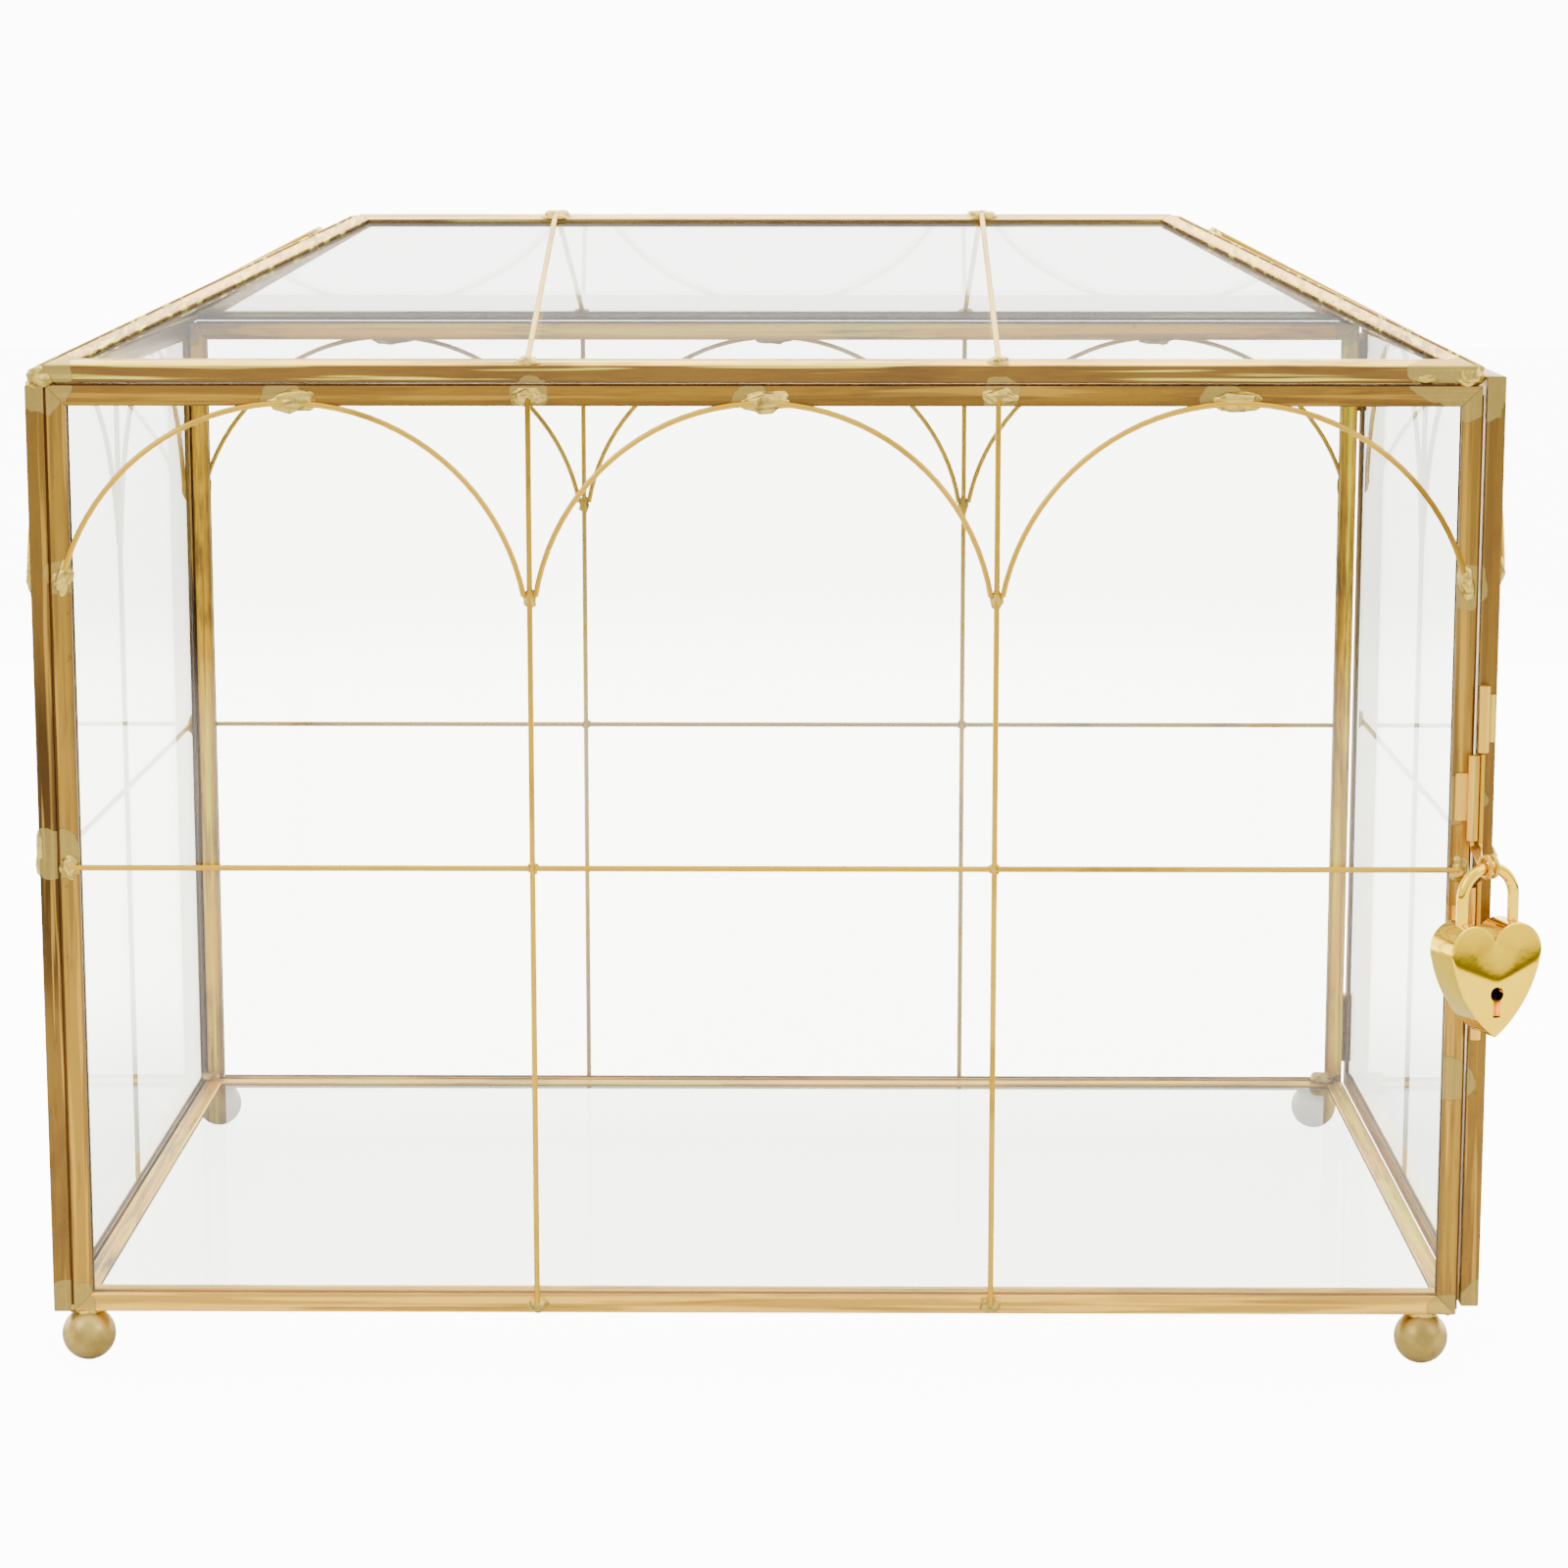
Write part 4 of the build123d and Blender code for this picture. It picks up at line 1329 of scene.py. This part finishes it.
@dataclass
class Studio:
    """A pale floor, soft light and the camera."""

    case: Case
    lens: float = 91.51
    place: Triple = (163.81, -820.98, 257.08)
    tilt: float = 80.179
    swing: float = 0.511
    floor_radius: float = 3.5
    floor_drop: float = 0.0002
    aim: Triple = (0.0, -0.1, 0.1)
    dim: float = 2.0
    glare: float = 6.5
    bright: float = 12.5
    sky: tuple[tuple[float, float], ...] = (
        (0.0, 0.16),
        (0.475, 0.05),
        (0.487, 0.6),
        (0.505, 0.95),
        (0.6, 0.9),
        (0.8, 1.0),
    )

    def world(self) -> None:
        """White all round, with a quieter, graded sky for the metal to mirror."""
        world = bpy.data.worlds.new("studio")
        bpy.context.scene.world = world
        g = Graph("studio", world)
        path = g.node("ShaderNodeLightPath").outputs
        bounces = Wire(g, path["Ray Depth"]) - Wire(g, path["Transmission Depth"])
        straight = Wire(g, path["Is Camera Ray"]).most(Wire(g, path["Is Transmission Ray"]))
        seen = straight * (1.0 - g.step(bounces, 1.4, 1.6))
        where = g.node("ShaderNodeTexCoord").outputs["Generated"]
        height, back = g.part(where, 2), g.part(where, 1)
        stops = [(at, (level, level, level * 0.98)) for at, level in self.sky]
        ramp = g.node("ShaderNodeValToRGB", {"stops": stops}, Fac=height * 0.5 + 0.5)
        graded = self.dim + g.step(back, 0.0, 0.55) * (self.glare - self.dim)
        pane = Wire(g, path["Is Singular Ray"]) * Wire(g, path["Is Glossy Ray"])
        level = (1.0 - g.step(height, 0.12, 0.34)) * g.step(back, 0.0, 0.5) * PANE_GLARE + PANE_LEAST
        white = g.node("ShaderNodeBackground", Color=(1.0, 1.0, 1.0, 1.0), Strength=seen * self.bright)
        mirrored = g.node("ShaderNodeBackground", Color=(1.0, 1.0, 0.99, 1.0), Strength=level)
        quiet = g.node("ShaderNodeBackground", Color=ramp.outputs[0], Strength=graded)
        rest = g.node("ShaderNodeMixShader", i0=pane, i1=quiet.outputs[0], i2=mirrored.outputs[0])
        mixed = g.node("ShaderNodeMixShader", i0=seen, i1=rest.outputs[0], i2=white.outputs[0])
        g.node("ShaderNodeOutputWorld", Surface=mixed.outputs[0])

    def lamp(self, name: str, place: Triple, size: tuple[float, float], power: float) -> None:
        """One soft box.

        Args:
            name: what to call it.
            place: where it hangs, in metres.
            size: its width and height.
            power: watts.
        """
        data = bpy.data.lights.new(name, "AREA")
        data.shape = "RECTANGLE"
        data.size, data.size_y = size
        data.energy = power
        made = bpy.data.objects.new(name, data)
        bpy.context.scene.collection.objects.link(made)
        made.location = place
        made.rotation_euler = (Vector(self.aim) - Vector(place)).to_track_quat("-Z", "Y").to_euler()

    def floor(self) -> None:
        """A wide round sheet just under the feet."""
        Bench.clear()
        bpy.ops.mesh.primitive_circle_add(
            vertices=64, radius=self.floor_radius, fill_type="NGON", location=(0, 0, -self.floor_drop)
        )
        piece = Bench.active()
        piece.name = "floor"
        Bench.settle(piece)
        Bench.dress(piece, StudioFloor().make())

    def camera(self) -> None:
        """Stands the camera in front and a little above the roof."""
        data = bpy.data.cameras.new("camera")
        data.lens = self.lens
        data.sensor_width = 36.0
        data.clip_start = 0.01
        data.clip_end = 50.0
        made = bpy.data.objects.new("camera", data)
        bpy.context.scene.collection.objects.link(made)
        made.location = self.case.at(*self.place)
        made.rotation_euler = (math.radians(self.tilt), 0.0, math.radians(self.swing))
        bpy.context.scene.camera = made

    def build(self) -> None:
        """Sets the whole studio."""
        self.world()
        self.floor()
        self.lamp("key_left", (-1.0, -0.9, 1.1), (0.9, 0.9), 9.0)
        self.lamp("key_right", (1.1, -0.8, 0.9), (0.8, 0.9), 6.0)
        self.lamp("top", (0, -0.2, 1.4), (1.4, 1.0), 6.0)
        self.camera()


def films(case: Case) -> list[Stain]:
    """Where flat films of solder ran out over the brass.

    Args:
        case: the box's sizes.

    Returns:
        The films, each with its middle and its reach.
    """
    width, depth, wall = case.width, case.depth, case.wall
    crown = wall - case.came_flange + 0.6
    foot = crown - 36.0
    plan = [
        (3.0, 0.4, wall - 1.0, 5.6),
        (width - 2.0, 0.2, wall - 0.5, 7.6),
        (width - 10.0, -0.2, wall + 2.0, 5.4),
        (5.0, 0.6, wall + 2.2, 5.4),
        (3.5, 0.0, 1.2, 5.6),
        (width - 1.5, 0.0, 0.8, 4.2),
        (6.6, 0.0, foot, 3.8),
        (width - 2.6, 0.0, foot - 1.5, 5.2),
        (3.8, 0.0, 99.5, 5.6),
        (width - 2.4, 0.0, 112.0, 5.5),
        (width - 2.8, 0.0, 52.0, 5.2),
        (2.0, depth, wall - 1.0, 6.4),
        (width - 2.0, depth, wall - 1.0, 6.4),
        (2.6, depth - 0.5, 2.0, 5.8),
        (width - 3.0, depth - 0.5, 2.0, 5.8),
        (0.0, 3.0, wall - 2.0, 5.0),
        (0.0, depth - 3.0, wall - 2.0, 5.0),
        (0.0, 2.5, 1.0, 5.0),
    ]
    outer = width + case.door_gap + case.came_depth
    for y in (1.5, depth - 1.5):
        for z in (case.door_lift + 1.5, case.door_lift + wall - 1.5):
            plan.append((outer, y, z, 4.6))
    for bay in range(3):
        plan.append((case.came_depth + 49.0 + 97.0 * bay, 0.0, crown, 4.6))
    for bay in range(2):
        plan.append((case.came_depth + 100.0 + 97.0 * bay, 0.0, wall - 2.0, 4.0))
    return [Stain(tuple(case.at(x, y, z)), reach * MM) for x, y, z, reach in plan]


def main() -> None:
    """Builds the studio and dresses every sub-assembly in order."""
    logging.basicConfig(level=logging.INFO, format="%(message)s")
    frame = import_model()
    nodes = frame["nodes"]
    case = Case()
    Studio(case).build()
    Cames(case, nodes, stains=films(case)).build()
    glass = FloatGlass("float_glass").make()
    roof_glass = FloatGlass("roof_glass", tint=(0.95, 0.96, 0.945)).make()
    wire = DrawnWire("drawn_wire").make()
    solder = SoftSolder("soft_solder").make()
    ball = SatinBall("satin_ball").make()
    gold = MirrorGold("mirror_gold").make()
    # Painted shade: a dark brass for the strips set into the grooves between channels.
    groove_shade_finish = CameBrass("burnt_seam", Run.UPRIGHT, light=(0.11, 0.045, 0.012), dark=(0.05, 0.018, 0.006), seed=31.0)
    SolderWork(case, solder, groove_shade_finish.make()).build()
    HeartPadlock(nodes, gold).build()
    plain = CameBrass("plain_brass", Run.UPRIGHT, tarnish=0.2, seed=21.0).make()
    for name, node in nodes.items():
        if name.endswith("glass"):
            Bench.paint_node(node, roof_glass if name.startswith("roof") else glass)
        elif name.endswith(("wires", "wire", "pin")):
            Bench.paint_node(node, wire)
        elif "solder" in name:
            Bench.paint_node(node, solder)
        elif name == "ball_feet":
            Bench.paint_node(node, ball)
        elif name.startswith("padlock"):
            Bench.paint_node(node, gold)
        else:
            Bench.paint_node(node, plain)
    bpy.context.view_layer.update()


if __name__ == "__main__":
    main()
